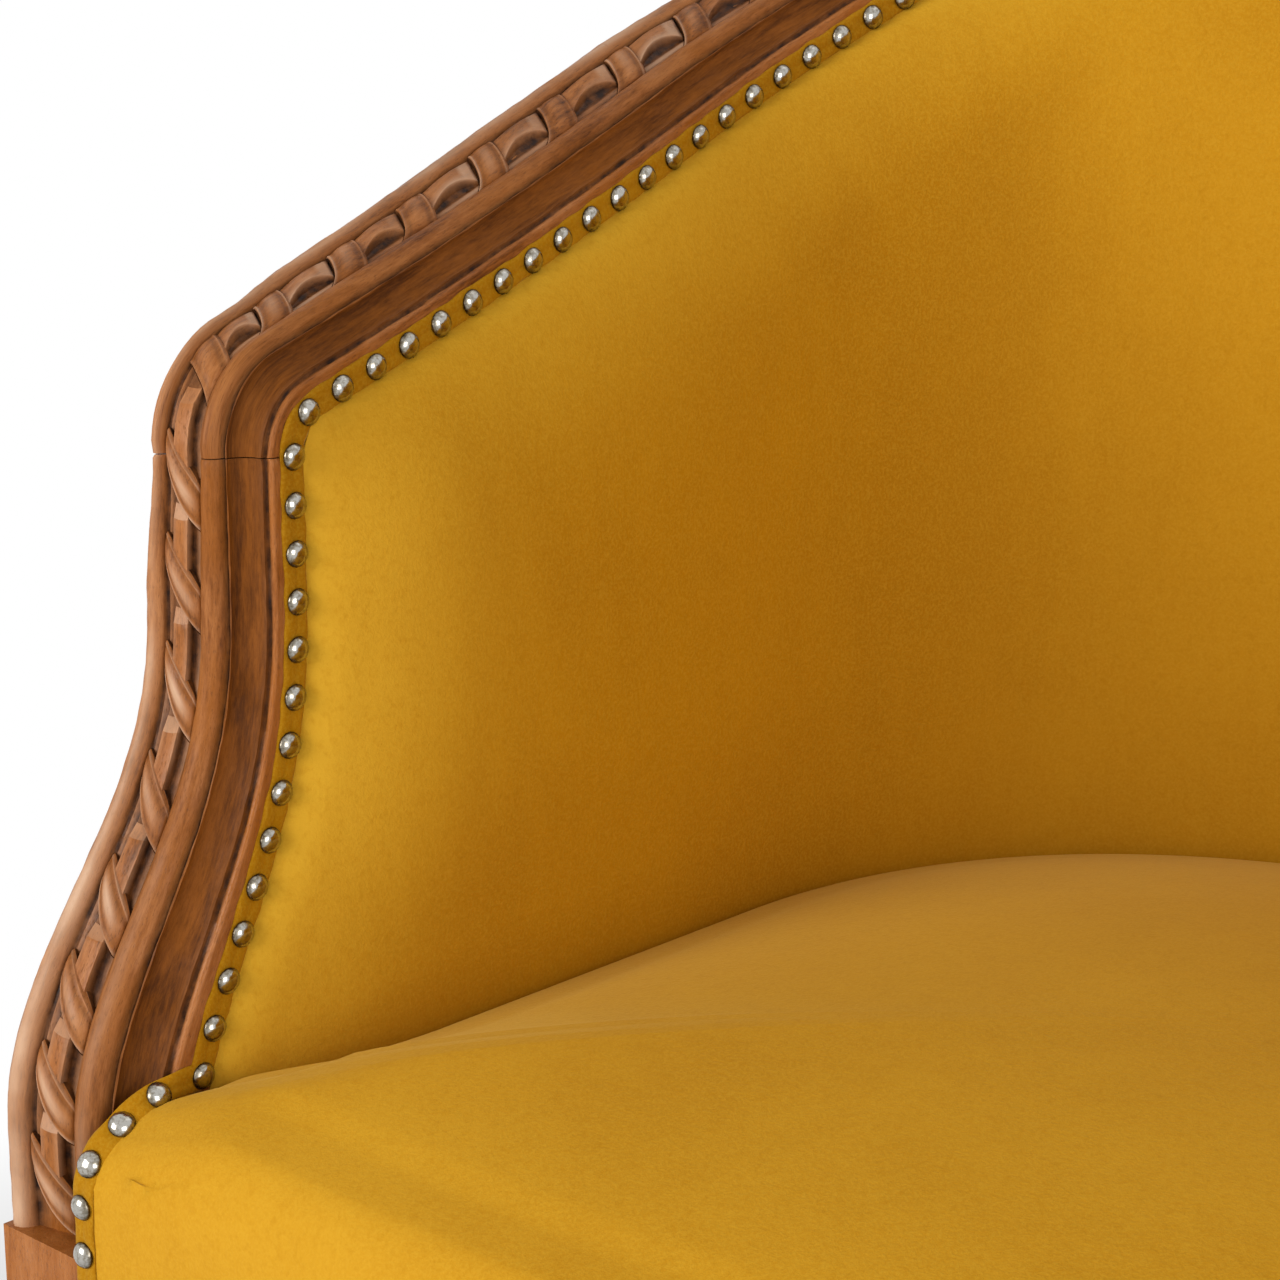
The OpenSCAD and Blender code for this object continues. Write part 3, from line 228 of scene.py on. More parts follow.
def stations(points, heading, pitch, scale, pinch, lift):
    # A station is a place on the nail line with its inward and upward directions, and
    # how far its outer side is drawn in and its outer bead raised there
    heading = heading + 0 * pitch
    inward = np.stack([np.cos(heading), -np.sin(heading), 0 * heading], -1)
    upward = np.stack([-np.sin(heading) * np.sin(pitch), -np.cos(heading) * np.sin(pitch),
                       np.cos(pitch)], -1)
    return {"point": points, "inward": inward, "upward": upward, "scale": scale + 0 * pitch,
            "pinch": pinch + 0 * pitch, "lift": lift + 0 * pitch}


def postStations(low, high, step=0.003):
    z = np.linspace(low, high, max(2, int((high - low) / step)))
    return stations(spaceAt(sweepAt(z), z), splay, sweepPitch(z), growthAt(z),
                    onWay(z, postTop - wood["pinchReach"], wood["pinchReach"]), 0.0)


def cornerStations(count=14):
    q = np.linspace(math.pi, math.pi / 2 + heights["armSlope"], count)
    line = spaceAt(cornerRadius * (1 + np.cos(q)), postTop + cornerRadius * np.sin(q))
    return stations(line, splay, q - math.pi / 2, 1.0, 1.0, 0.0)


def armStations(low, high, step=0.004):
    s = np.linspace(low, high, max(2, int((high - low) / step)))
    return stations(spaceAt(s, nailHeight(s)), headingAt(s), np.arctan(slopeAt(s)), 1.0,
                    1 - onWay(s, cornerEnd, wood["pinchEnd"]),
                    within((s - cornerEnd) / wood["liftReach"]) ** 1.2)


def skipped(part):
    return {key: value[1:] for key, value in part.items()}


def mirrored(part):
    # The same stations on the right side, in reverse order and without the middle one
    return {key: value[-2::-1] * (mirror if value.ndim == 2 else 1)
            for key, value in part.items()}


def placed(st, a, b):
    # Section coordinates to space: a inwards from the outer face, b up from the top edge
    nearFace = within((b + wood["depth"] - wood["rebateHeight"]) / wood["faceFade"])
    edges = np.cumsum([0, wood["outerBead"], wood["channel"], wood["innerBead"], wood["groove"]])
    drawIn = np.interp(a, edges, (1, 0.5, 0.43, 0.04, 0))
    rise = np.interp(a, edges[:3], (1, 1, 0))
    a = a + nearFace * st["pinch"] * wood["pinch"] * drawIn
    b = b + nearFace * st["lift"] * wood["lift"] * rise
    side = (a - wood["width"]) * st["scale"]
    rise = (b + wood["nailDrop"]) * st["scale"]
    return st["point"] + side[..., None] * st["inward"] + rise[..., None] * st["upward"]


# Mesh helpers

def gridQuads(rows, cols, closed=False):
    r, c = np.meshgrid(np.arange(rows - 1), np.arange(cols if closed else cols - 1), indexing="ij")
    d = (c + 1) % cols
    return np.stack([r * cols + c, (r + 1) * cols + c, (r + 1) * cols + d, r * cols + d],
                    -1).reshape(-1, 4)


def cappedFaces(rows, cols):
    # The faces of rows of points, closed round each row and capped at both ends
    faces = [list(f) for f in gridQuads(rows, cols, closed=True)]
    return faces + [list(range(cols)), [(rows - 1) * cols + i for i in reversed(range(cols))]]


def pointsOf(mesh):
    co = np.zeros(len(mesh.vertices) * 3, np.float32)
    mesh.vertices.foreach_get("co", co)
    return co.reshape(-1, 3).astype(float)


def signedVolume(mesh):
    mesh.calc_loop_triangles()
    tris = np.zeros(len(mesh.loop_triangles) * 3, np.int32)
    mesh.loop_triangles.foreach_get("vertices", tris)
    a, b, c = np.moveaxis(pointsOf(mesh)[tris.reshape(-1, 3)], 1, 0)
    return float(np.einsum("ij,ij->i", a, np.cross(b, c)).sum() / 6)


def setLayer(mesh, key, values):
    # An attribute with one number or one vector for each point
    values = np.asarray(values, np.float32)
    kind, slot = ("FLOAT", "value") if values.ndim == 1 else ("FLOAT_VECTOR", "vector")
    mesh.attributes.new(key, kind, "POINT").data.foreach_set(slot, values.ravel())


def newPiece(name, verts, faces, sharp=None, values=None, turn=True):
    mesh = bpy.data.meshes.new(name)
    mesh.from_pydata([tuple(v) for v in np.asarray(verts, float)], [],
                     [tuple(int(i) for i in f) for f in faces])
    if turn and signedVolume(mesh) < 0:
        mesh.flip_normals()
    for key, value in (values or {}).items():
        setLayer(mesh, key, value)
    mesh.shade_smooth()
    if sharp is not None:
        mesh.set_sharp_from_angle(angle=math.radians(sharp))
    piece = bpy.data.objects.new(name, mesh)
    bpy.context.scene.collection.objects.link(piece)
    return piece


def runLength(points):
    return np.concatenate([[0], np.cumsum(np.linalg.norm(np.diff(points, axis=0), axis=1))])


def ripple(along, across, size, seed):
    # Smooth unevenness of hand work: a few waves of unlike lengths along the piece
    rng = np.random.default_rng(seed)
    total = np.zeros(np.broadcast(along, across).shape)
    for length in (0.061, 0.034, 0.019, 0.0125):
        phase = rng.uniform(0, 2 * math.pi)
        lean = rng.uniform(-90, 90)
        total = total + size * rng.uniform(0.6, 1) * np.sin(
            2 * math.pi * along / length + lean * across + phase)
    return total / 2


# Materials

class Nodes:
    # Short calls to add and link the nodes of a tree
    def __init__(self, tree):
        self.tree = tree

    def add(self, kind, links=None, **settings):
        node = self.tree.nodes.new(kind)
        for key, value in settings.items():
            setattr(node, key, value)
        for key, source in (links or {}).items():
            self.put(node.inputs[key], source)
        return node

    def put(self, slot, value):
        if isinstance(value, bpy.types.NodeSocket):
            self.tree.links.new(value, slot)
        elif value is not None:
            slot.default_value = value

    def maths(self, operation, a, b=None):
        return self.add("ShaderNodeMath", {0: a, 1: b}, operation=operation).outputs[0]

    def times(self, a, b):
        return self.maths("MULTIPLY", a, b)


class Shader(Nodes):
    # A material with a Principled shader
    def __init__(self, name, **fixed):
        self.material = bpy.data.materials.new(name)
        self.material.use_nodes = True
        super().__init__(self.material.node_tree)
        self.surface = self.tree.nodes["Principled BSDF"]
        self.finish(**fixed)

    def fact(self, name):
        return self.add("ShaderNodeAttribute", attribute_name=name).outputs["Fac"]

    def place(self, stretch=(1, 1, 1), attribute=None):
        if attribute:
            where = self.add("ShaderNodeAttribute", attribute_name=attribute).outputs["Vector"]
        else:
            where = self.add("ShaderNodeTexCoord").outputs["Object"]
        return self.add("ShaderNodeMapping", {"Vector": where, "Scale": stretch}).outputs["Vector"]

    def noise(self, where, scale, detail=4, rough=0.55, distortion=0.0):
        return self.add("ShaderNodeTexNoise", {
            "Vector": where, "Scale": scale, "Detail": detail, "Roughness": rough,
            "Distortion": distortion}).outputs["Fac"]

    def ramp(self, source, stops):
        node = self.add("ShaderNodeValToRGB", {"Fac": source})
        bar = node.color_ramp
        while len(bar.elements) < len(stops):
            bar.elements.new(0.5)
        for element, (place, color) in zip(bar.elements, stops):
            element.position = place
            element.color = (*color, 1)
        return node.outputs["Color"]

    def spread(self, source, low, high, first=0.0, last=1.0):
        return self.add("ShaderNodeMapRange", {
            "Value": source, "From Min": first, "From Max": last, "To Min": low,
            "To Max": high}).outputs["Result"]

    def clamped(self, amount):
        amount.node.use_clamp = True
        return amount

    def mixed(self, amount, first, second):
        node = self.add("ShaderNodeMix", data_type="RGBA")
        for slot, value in ((0, amount), (6, first), (7, second)):
            self.put(node.inputs[slot], (*value, 1) if isinstance(value, tuple) else value)
        return node.outputs[2]

    def bump(self, height, strength, distance, normal=None):
        return self.add("ShaderNodeBump", {
            "Height": height, "Strength": strength, "Distance": distance,
            "Normal": normal}).outputs["Normal"]

    def finish(self, **sources):
        for key, source in sources.items():
            self.put(self.surface.inputs[key.replace("_", " ")], source)
        return self.material


woodLook = {
    "dark": (0.080, 0.023, 0.005),
    "middle": (0.270, 0.088, 0.020),
    "light": (0.420, 0.165, 0.052),
    # Dirt in the pores, and painted shade with dirt in the recesses
    "dirtAndShade": (0.022, 0.009, 0.005),
    "warm": (0.31, 0.092, 0.008),
    # Painted shade and painted warm reflection of the velvet in the cove
    "cove": (0.060, 0.016, 0.0015),
    "coveLight": (0.185, 0.052, 0.0030),
    # Pale colour of worn crests and of painted highlights
    "wearAndHighlight": (0.56, 0.35, 0.22),
    "roughness": 0.34,
}


def woodMaterial(name, stretch, attribute=None, look=woodLook):
    sh = Shader(name, Specular_IOR_Level=0.11)
    where = sh.place(stretch, attribute)
    plain = sh.place()
    figure = sh.noise(where, 14, 6, 0.6, 0.6)
    fibre = sh.noise(where, 120, 3, 0.7)
    blotch = sh.noise(plain, 22, 3, 0.5)
    tone = sh.maths("ADD", sh.times(figure, 0.62), sh.times(fibre, 0.38))
    base = sh.ramp(tone, [(0.34, look["dark"]), (0.47, look["middle"]), (0.64, look["light"])])
    base = sh.mixed(sh.spread(blotch, 0.0, 0.55, 0.42, 0.66), base, look["warm"])
    pores = sh.noise(where, 420, 2, 0.6)
    poreMask = sh.spread(pores, 1, 0, 0.30, 0.42)
    base = sh.mixed(sh.times(poreMask, 0.45), base, look["dirtAndShade"])
    if attribute:
        # Painted shade with dirt in recesses, painted shade and warm reflection in the cove,
        # painted highlight with wear on raised places
        dirtAndShade, warm, wearAndHighlight = [sh.fact(key) for key in ("recess", "cove", "wearAndHighlight")]
        # The cove is painted darker and warmer: painted shade and painted reflection of the velvet
        paintedCoveReflection = sh.mixed(sh.spread(tone, 0.0, 1.0, 0.38, 0.60), look["cove"],
                            look["coveLight"])
        base = sh.mixed(sh.times(warm, 0.9), base, paintedCoveReflection)
        # Painted highlight with wear on raised places
        paintedLightAndWear = sh.times(wearAndHighlight, sh.spread(blotch, 0.15, 0.9, 0.35, 0.6))
        base = sh.mixed(sh.clamped(paintedLightAndWear), base, look["wearAndHighlight"])
        # The painted shade and dirt, broken up in patches
        patchyShadeAndDirt = sh.spread(sh.noise(plain, 160, 3, 0.6), 0.55, 1.15, 0.3, 0.7)
        base = sh.mixed(sh.clamped(sh.times(dirtAndShade, patchyShadeAndDirt)), base, look["dirtAndShade"])
    gloss = sh.spread(sh.noise(plain, 60, 4, 0.6), look["roughness"] - 0.10,
                      look["roughness"] + 0.16, 0.3, 0.7)
    if attribute:
        gloss = sh.maths("ADD", gloss, sh.times(warm, 0.3))
    height = sh.maths("SUBTRACT", sh.times(fibre, 0.4), poreMask)
    soft = sh.bump(sh.noise(plain, 190, 3, 0.5), 0.25, 0.0008)
    normal = sh.bump(height, 0.35, 0.0004, soft)
    return sh.finish(Base_Color=base, Roughness=gloss, Normal=normal)


velvetLook = {
    "deep": (0.425, 0.176, 0.0006),
    "base": (0.490, 0.212, 0.0008),
    # The lighter colour of the pile, also laid as painted sheen
    "brushed": (0.590, 0.318, 0.020),
}
velvetSheen = (1.0, 0.74, 0.22)


def velvetMaterial(name, dark=1.0):
    # One attribute carries painted sheen and shade: where it is high the pile is painted lighter
    tint = {key: tuple(c * dark for c in color) for key, color in velvetLook.items()}
    sh = Shader(name, Roughness=0.85, Specular_IOR_Level=0.10, Sheen_Weight=0.28,
                Sheen_Roughness=0.35, Sheen_Tint=(*velvetSheen, 1))
    plain = sh.place()
    brushed = sh.noise(plain, 7, 4, 0.5, 0.3)
    streak = sh.noise(sh.place((1, 1, 0.22)), 80, 3, 0.6)
    pile = sh.noise(plain, 850, 2, 0.65)
    tone = sh.maths("ADD", sh.times(brushed, 0.8), sh.times(streak, 0.2))
    base = sh.ramp(tone, [(0.36, tint["deep"]), (0.62, tint["base"])])
    # Painted sheen: the pile takes the lighter colour in proportion to the attribute
    lit = sh.times(sh.fact("paintedSheen"), sh.spread(tone, 0.72, 1.15, 0.38, 0.62))
    base = sh.mixed(sh.clamped(lit), base, tint["brushed"])
    base = sh.mixed(sh.spread(pile, 0.0, 0.42, 0.40, 0.66), base, tint["brushed"])
    coarse = sh.noise(plain, 330, 3, 0.6)
    base = sh.mixed(sh.spread(coarse, 0.0, 0.30, 0.50, 0.72), base, tint["deep"])
    folds = sh.bump(sh.noise(plain, 40, 3, 0.5), 0.08, 0.003)
    normal = sh.bump(coarse, 0.30, 0.0006, sh.bump(pile, 0.45, 0.0005, folds))
    return sh.finish(Base_Color=base, Normal=normal)


def nailMaterial(name):
    # Worn nickel: bright on the crown, with tarnish spots and painted shade that darkens towards
    # the rim
    sh = Shader(name, Metallic=1.0)
    spots = sh.noise(sh.place(), 700, 3, 0.6)
    tarnishAndShade = sh.clamped(sh.maths("ADD", sh.fact("rim"), sh.spread(spots, -0.25, 0.45, 0.35, 0.7)))
    base = sh.ramp(tarnishAndShade, [(0.0, (0.46, 0.44, 0.40)), (0.45, (0.25, 0.22, 0.17)),
                             (1.0, (0.045, 0.030, 0.014))])
    gloss = sh.spread(tarnishAndShade, 0.12, 0.42)
    return sh.finish(Base_Color=base, Roughness=gloss, Normal=sh.bump(spots, 0.12, 0.0003))


def plainMaterial(name, color, rough, metal, grainScale, strength, spread):
    sh = Shader(name, Metallic=metal)
    where = sh.place()
    grain = sh.noise(where, grainScale, 3, 0.6)
    lighter = tuple(min(1, c * (1 + spread)) for c in color)
    darker = tuple(c * (1 - spread) for c in color)
    base = sh.ramp(grain, [(0.35, darker), (0.65, lighter)])
    gloss = sh.spread(sh.noise(where, grainScale / 6, 3, 0.6), rough * 0.85,
                      min(1, rough * 1.15), 0.3, 0.7)
    return sh.finish(Base_Color=base, Roughness=gloss,
                     Normal=sh.bump(grain, strength, 0.0004))


def wovenMaterial(name, light, dark, pitch):
    # Plain weave from two crossed wave textures
    sh = Shader(name, Roughness=0.9, Specular_IOR_Level=0.15)
    where = sh.place()
    warp, weft = [sh.add("ShaderNodeTexWave", {"Vector": where, "Scale": 1 / pitch / 3,
                                               "Distortion": 1.2, "Detail": 2},
                         bands_direction=axis).outputs["Fac"] for axis in "XY"]
    crossed = sh.times(warp, weft)
    base = sh.ramp(crossed, [(0.1, dark), (0.6, light)])
    return sh.finish(Base_Color=base, Normal=sh.bump(crossed, 0.5, 0.0006))


materials = {
    "member": woodMaterial("polishedWalnut", (1, 7, 7), "grain"),
    "carving": woodMaterial("carvedWalnut", (1, 5, 5), "grain"),
    "upright": woodMaterial("walnutUpright", (6, 6, 0.9)),
    "level": woodMaterial("walnutLevel", (0.9, 0.9, 6)),
    "velvet": velvetMaterial("mustardVelvet"),
    "band": velvetMaterial("mustardBand", dark=0.78),
    "nail": nailMaterial("wornNickel"),
    "bare": woodMaterial("bareBeech", (1, 1, 6), look={
        "dark": (0.36, 0.22, 0.11), "middle": (0.52, 0.36, 0.20), "light": (0.62, 0.45, 0.27),
        "dirtAndShade": (0.20, 0.12, 0.06), "warm": (0.50, 0.32, 0.16), "roughness": 0.62}),
    "steel": plainMaterial("springSteel", (0.42, 0.42, 0.43), 0.35, 1.0, 500, 0.15, 0.15),
    "glide": plainMaterial("glideNickel", (0.60, 0.60, 0.60), 0.25, 1.0, 400, 0.05, 0.08),
    "jute": wovenMaterial("juteWeave", (0.40, 0.27, 0.13), (0.16, 0.10, 0.05), 0.0022),
    "foam": plainMaterial("paleFoam", (0.72, 0.66, 0.45), 0.9, 0.0, 700, 0.5, 0.10),
    "lining": wovenMaterial("blackLining", (0.030, 0.030, 0.032), (0.010, 0.010, 0.011), 0.0009),
}
print("materials made:", len(materials))


def paint(piece, finish):
    piece.data.materials.clear()
    piece.data.materials.append(materials[finish])


def dress(piece, finish, replaced=()):
    paint(piece, finish)
    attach(piece, "root")
    if replaced:
        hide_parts(*replaced)
    return piece


def sided(*names):
    return [f"{name}_{side}" for name in names for side in ("left", "right")]


# Carried-over frame nodes keep their meshes and get a finish
finishes = {
    "upright": sided("front_leg", "rear_leg"),
    "level": ["front_seat_rail", *sided("side_seat_rail"), "back_seat_rail"],
    "bare": [*sided("side_upright", "stay_rail", "front_brace", "rear_brace"), "back_upright",
             "stay_rail_back", "rail_dowels"],
    "steel": ["brace_screws", "seat_springs"],
    "glide": sided("glide_front", "glide_rear"),
    "jute": ["webbing_lengthwise", "webbing_crosswise", "spring_cloth", "back_webbing",
             "back_hessian"],
    "foam": ["seat_foam"],
}
for finish, names in finishes.items():
    for name in names:
        paint(nodes[name], finish)


# Show wood: one moulded section swept along the nail line

def sectionPoints():
    # Rows of a, b, how much painted shade and dirt the place gets, and how much of the cove's
    # painted shade and warm reflection it has
    w, d, tilt = wood["width"], wood["depth"], math.tan(wood["tilt"])
    ledge = wood["rebateHeight"] - d
    rows = [(wood["rebateWidth"], -d, 0, 0), (wood["rebateWidth"], ledge, 0.3, 0),
            (0.0005, ledge, 0, 0), (0, ledge + 0.0005, 0, 0)]
    rows += [(0, ledge + 0.008 * k, 0, 0) for k in (1, 2, 3)]

    def bead(start, width, count, shadeAndDirtFrom, shadeAndDirtTo, coveReflection=0):
        for i in range(count + 1):
            q = math.pi * (1 - i / count)
            a = start + width / 2 * (1 + math.cos(q))
            rise = math.sin(q)
            shadeAndDirt = max(0, 1 - rise * 2.1) * (shadeAndDirtFrom if q > math.pi / 2 else shadeAndDirtTo)
            rows.append((a, -a * tilt - wood["beadHeight"] * (1 - rise), shadeAndDirt, coveReflection))

    floorStart = wood["outerBead"]
    innerStart = floorStart + wood["channel"]
    bead(0, floorStart, 12, 0, 0.9)
    # The channel floor: painted shade and dirt near the beads
    for t, sunk, shadeAndDirt in ((0.03, 0.3, 0.9), (0.10, 0.5, 0.5), (0.3, 0.3, 0.15), (0.5, 0.2, 0.1),
                           (0.7, 0.3, 0.15), (0.90, 0.5, 0.5), (0.97, 0.3, 0.9)):
        a = floorStart + wood["channel"] * t
        rows.append((a, -a * tilt - wood["beadHeight"] - sunk * 0.001, shadeAndDirt, 0))
    # The inner bead gets some of the cove's painted warm reflection
    bead(innerStart, wood["innerBead"], 12, 0.9, 0.4, 0.35)
    grooveStart = innerStart + wood["innerBead"]
    coveStart = grooveStart + wood["groove"]
    coveTop = -coveStart * tilt - wood["beadHeight"] + 0.0003
    rows += [(grooveStart + 0.00035, coveTop - 0.0013, 1.0, 0),
             (grooveStart + 0.0008, coveTop - 0.0022, 1.0, 0),
             (grooveStart + 0.0012, coveTop - 0.0012, 1.0, 0.3),
             (coveStart - 0.0001, coveTop - 0.0002, 0.4, 0.5),
             (coveStart + 0.0004, coveTop - 0.0004, 0.0, 0.6)]
    # The cove's rows carry painted shade and painted warm reflection
    for i in range(1, 13):
        q = math.pi / 2 * i / 12
        a = coveStart + wood["cove"] * (1 - math.cos(q))
        b = coveTop - wood["cove"] * math.sin(q)
        edge = max(0, (i - 10) / 2)
        rows.append((a, b, 0.35 * edge, 1 - 0.3 * edge))
    step = coveTop - wood["cove"] - wood["filletDrop"]
    coveEnd = coveStart + wood["cove"]
    rows += [(coveEnd + 0.0001, step + 0.0008, 0.9, 0.2),
             (coveEnd + 0.0004, step + 0.0001, 0.9, 0.1),
             (coveEnd + 0.0014, step + 0.0001, 0.1, 0)]
    rows += [(a, b, 0, 0) for a, b in (
        (w - 0.0009, step), (w - 0.0002, step - 0.0004), (w, step - 0.0012), (w, step - 0.006),
        (w, step - 0.012), (w, -d + 0.008), (w, -d + 0.0005), (w - 0.0005, -d), (w * 0.75, -d),
        (w * 0.45, -d))]
    return np.array(rows)


section = sectionPoints()


def member(line, seed, startGap=False, endGap=False, topStep=0.0):
    count = len(section)
    rings = len(line["point"])
    along = runLength(line["point"])
    a = np.tile(section[:, 0], (rings, 1))
    b = np.tile(section[:, 1], (rings, 1))
    carved = (b > -0.036) & (a < wood["width"] - 0.001)
    wave = ripple(along[:, None], section[None, :, 0] * 60, wood["handwork"], seed)
    b = b + np.where(carved, wave, 0)
    if topStep:
        # Near its upper joint the post is a little slimmer outside than the rail above it
        near = eased(within(1 - (along[-1] - along) / wood["stepReach"]))[:, None]
        a = a + topStep * near * within(1 - a / wood["stepWidth"])
    for gap, ends in ((startGap, along), (endGap, along[-1] - along)):
        if gap:
            # The arris at a joint is softened, so that the joint shows as a fine line
            near = wood["jointShare"] * within(1 - ends / wood["jointSoft"])[:, None]
            a = a + (wood["width"] / 2 - a) * near
            b = b + (-wood["depth"] / 2 - b) * near
    st = {key: np.repeat(value[:, None], count, 1) for key, value in line.items()}
    points = placed(st, a, b).reshape(-1, 3)
    around = runLength(section[:, :2])
    grain = np.stack([np.repeat(along[:, None], count, 1) + seed * 0.37,
                      np.repeat(around[None], rings, 0), 0 * a + seed * 0.11], -1).reshape(-1, 3)
    # Hands have worn the crests of the beads, and a pale painted highlight lies on them, most of
    # all down the sweep to the foot
    across, crestAt = section[:, 0], wood["crestAt"]
    crest = 0.75 * bell(across, crestAt, wood["crestWidth"]) * (section[:, 1] > -0.006)
    innerCrest = wood["outerBead"] + wood["channel"] + wood["innerBead"] / 2
    beads = (bell(across, crestAt, wood["polishAndSheenWidth"])
             + 0.6 * bell(across, innerCrest, wood["crestWidth"]))
    foot = within((wood["polishAndSheenTop"] - line["point"][:, 2]) / wood["polishAndSheenFade"])
    wearAndHighlight = within(crest[None] + 0.5 * eased(foot)[:, None] * beads[None])
    # The marks: painted shade with dirt in recesses, painted shade and warm reflection in the
    # cove, painted highlight with wear on the crests
    return points, cappedFaces(rings, count), {
        "recess": np.tile(section[:, 2], rings), "cove": np.tile(section[:, 3], rings),
        "wearAndHighlight": wearAndHighlight.ravel(), "grain": grain}


def sideMember(base, line, seed, right, **ends):
    points, faces, marks = member(line, seed, **ends)
    return newPiece(base, points * mirror if right else points, faces, sharp=50, values=marks)


postEnd = postTop - wood["jointGap"]
postLine = joined(postStations(heights["blockTop"], postEnd),
                  postStations(postTop - 0.0015, postEnd, 0.0004))
order = np.argsort(postLine["point"][:, 2])
postLine = {key: value[order] for key, value in postLine.items()}
cornerLine = cornerStations()
armLine = joined(cornerLine, skipped(armStations(cornerEnd, climbLen - wood["jointGap"] / 2)))
crestLine = armStations(climbLen + wood["jointGap"] / 2, halfLen)
members = []
for side, right in (("left", False), ("right", True)):
    seed = 11 if right else 5
    post = sideMember(f"carved_post_{side}", postLine, seed, right, endGap=True,
                      topStep=wood["postStep"])
    members.append(dress(post, "member", [f"arm_post_{side}"]))
    rail = sideMember(f"carved_arm_{side}", armLine, seed + 1, right, startGap=True, endGap=True)
    members.append(dress(rail, "member", [f"arm_rail_{side}"]))
crest = sideMember("carved_crest", joined(crestLine, mirrored(crestLine)), 23, False,
                   startGap=True, endGap=True)
members.append(dress(crest, "member", ["crest_rail"]))
print("show wood swept:", sum(len(m.data.polygons) for m in members), "faces")


# Padding: the inside cover follows the frame's curve and swells between its edges
padding = {
    "full": 0.027,
    "atSeat": 0.020,
    "fullRise": 0.100,
    "lumbar": 0.025,
    "swell": 0.003,
    "roll": 0.060,
    "rollPower": 0.7,
    "lumbarPower": 4,
    "back": 0.0004,
    "edge": 0.0005,
    "bandHalf": 0.0047,
    "fade": 0.130,
    "columns": 96,
    "rows": 64,
}

# How the two padded covers are simulated
cloth = {
    "step": 4,
    "pressure": 4,
    "mass": 0.25,
    "quality": 5,
    "stiffness": 12,
    "bending": 1.0,
    "frames": 20,
    "smoothings": 8,
}


def swollen(grid, free, outward, limit, closed=False):
    # Cloth with a little pressure inside: a coarse copy of the cover is simulated with its
    # border held, and the rows and columns between take their share of the swelling
    rows = np.unique(np.append(np.arange(0, grid.shape[0], cloth["step"]), grid.shape[0] - 1))
    cols = np.arange(0, grid.shape[1], cloth["step"])
    if not closed:
        cols = np.unique(np.append(cols, grid.shape[1] - 1))
    coarse = grid[rows][:, cols]
    piece = newPiece("cover_cloth", coarse.reshape(-1, 3),
                     gridQuads(len(rows), len(cols), closed), turn=False)
    ahead = outward[rows][:, cols].reshape(-1, 3)
    if sum(float(np.dot(p.normal, ahead[p.vertices[0]])) for p in piece.data.polygons) < 0:
        piece.data.flip_normals()
    held = ~free[rows][:, cols].ravel()
    group = piece.vertex_groups.new(name="held")
    group.add(np.where(held)[0].tolist(), 1.0, "REPLACE")
    modifier = piece.modifiers.new("cloth", "CLOTH")
    settings = modifier.settings
    settings.vertex_group_mass = "held"
    settings.use_pressure = True
    settings.uniform_pressure_force = cloth["pressure"]
    settings.mass = cloth["mass"]
    settings.quality = cloth["quality"]
    for name in ("tension_stiffness", "compression_stiffness", "shear_stiffness"):
        setattr(settings, name, cloth["stiffness"])
    settings.bending_stiffness = cloth["bending"]
    settings.effector_weights.gravity = 0
    modifier.collision_settings.use_collision = False
    modifier.collision_settings.use_self_collision = False
    modifier.point_cache.frame_end = cloth["frames"]
    for number in range(1, cloth["frames"] + 1):
        bpy.context.scene.frame_set(number)
    seen = piece.evaluated_get(bpy.context.evaluated_depsgraph_get())
    shift = pointsOf(seen.data).reshape(coarse.shape) - coarse
    far = np.linalg.norm(shift, axis=2, keepdims=True)
    print("cloth swells up to", round(float(far.max()) * 1000, 1), "mm before the limit")
    shift = shift * limit * np.tanh(far / limit) / np.maximum(far, 1e-9)
    mesh = piece.data
    bpy.data.objects.remove(piece)
    bpy.data.meshes.remove(mesh)
    bpy.context.scene.frame_set(1)
    if closed:
        cols = np.append(cols, grid.shape[1])
        shift = np.concatenate([shift, shift[:, :1]], 1)
    for axis, known in ((1, cols), (0, rows)):
        at = np.arange(grid.shape[axis])
        shift = np.apply_along_axis(lambda row: np.interp(at, known, row), axis, shift)
    for _ in range(cloth["smoothings"]):
        for axis, mode in ((0, "edge"), (1, "wrap" if closed else "edge")):
            wide = np.pad(shift, [(int(k == axis),) * 2 for k in range(3)], mode=mode)
            shift = np.apply_along_axis(np.convolve, axis, wide, (0.25, 0.5, 0.25), "valid")
    return grid + np.where(free[..., None], shift, 0)


def edgeEase(t):
    return np.sin(math.pi / 2 * within(t / padding["roll"])) ** padding["rollPower"]


def lumbarAt(s):
    return padding["lumbar"] * np.sin(headingAt(s)) ** padding["lumbarPower"]


def padLead(z):
    return sweepAt(z) + padding["bandHalf"] / np.sin(sweepPitch(z))


def bent(s, z, lead=padLead):
    return s + lead(z) * np.clip(1 - s / padding["fade"], 0, None)


def padTop(s):
    inner = cornerRadius - padding["bandHalf"]
    turn = cornerRadius - inner * math.sin(heights["armSlope"])
    low = postTop + np.sqrt(np.clip(inner ** 2 - (cornerRadius - s) ** 2, 0, None))
    return np.where(s < turn, low, belowNails(s, padding["bandHalf"]))


def padFront(s, z, top):
    limit = padding["atSeat"] + (padding["full"] - padding["atSeat"]) * onWay(
        z, heights["seatEdge"], padding["fullRise"])
    swell = limit * edgeEase(top - z) * edgeEase(s)
    return (padding["back"] + np.maximum(padding["edge"], swell)
            + lumbarAt(s) * edgeEase(top - z) * (top - z) / (top - heights["padBottom"]))


def columnPlace(t):
    # Columns crowd together at the posts
    return halfLen * (0.55 * t + 0.45 * t ** 2.2)


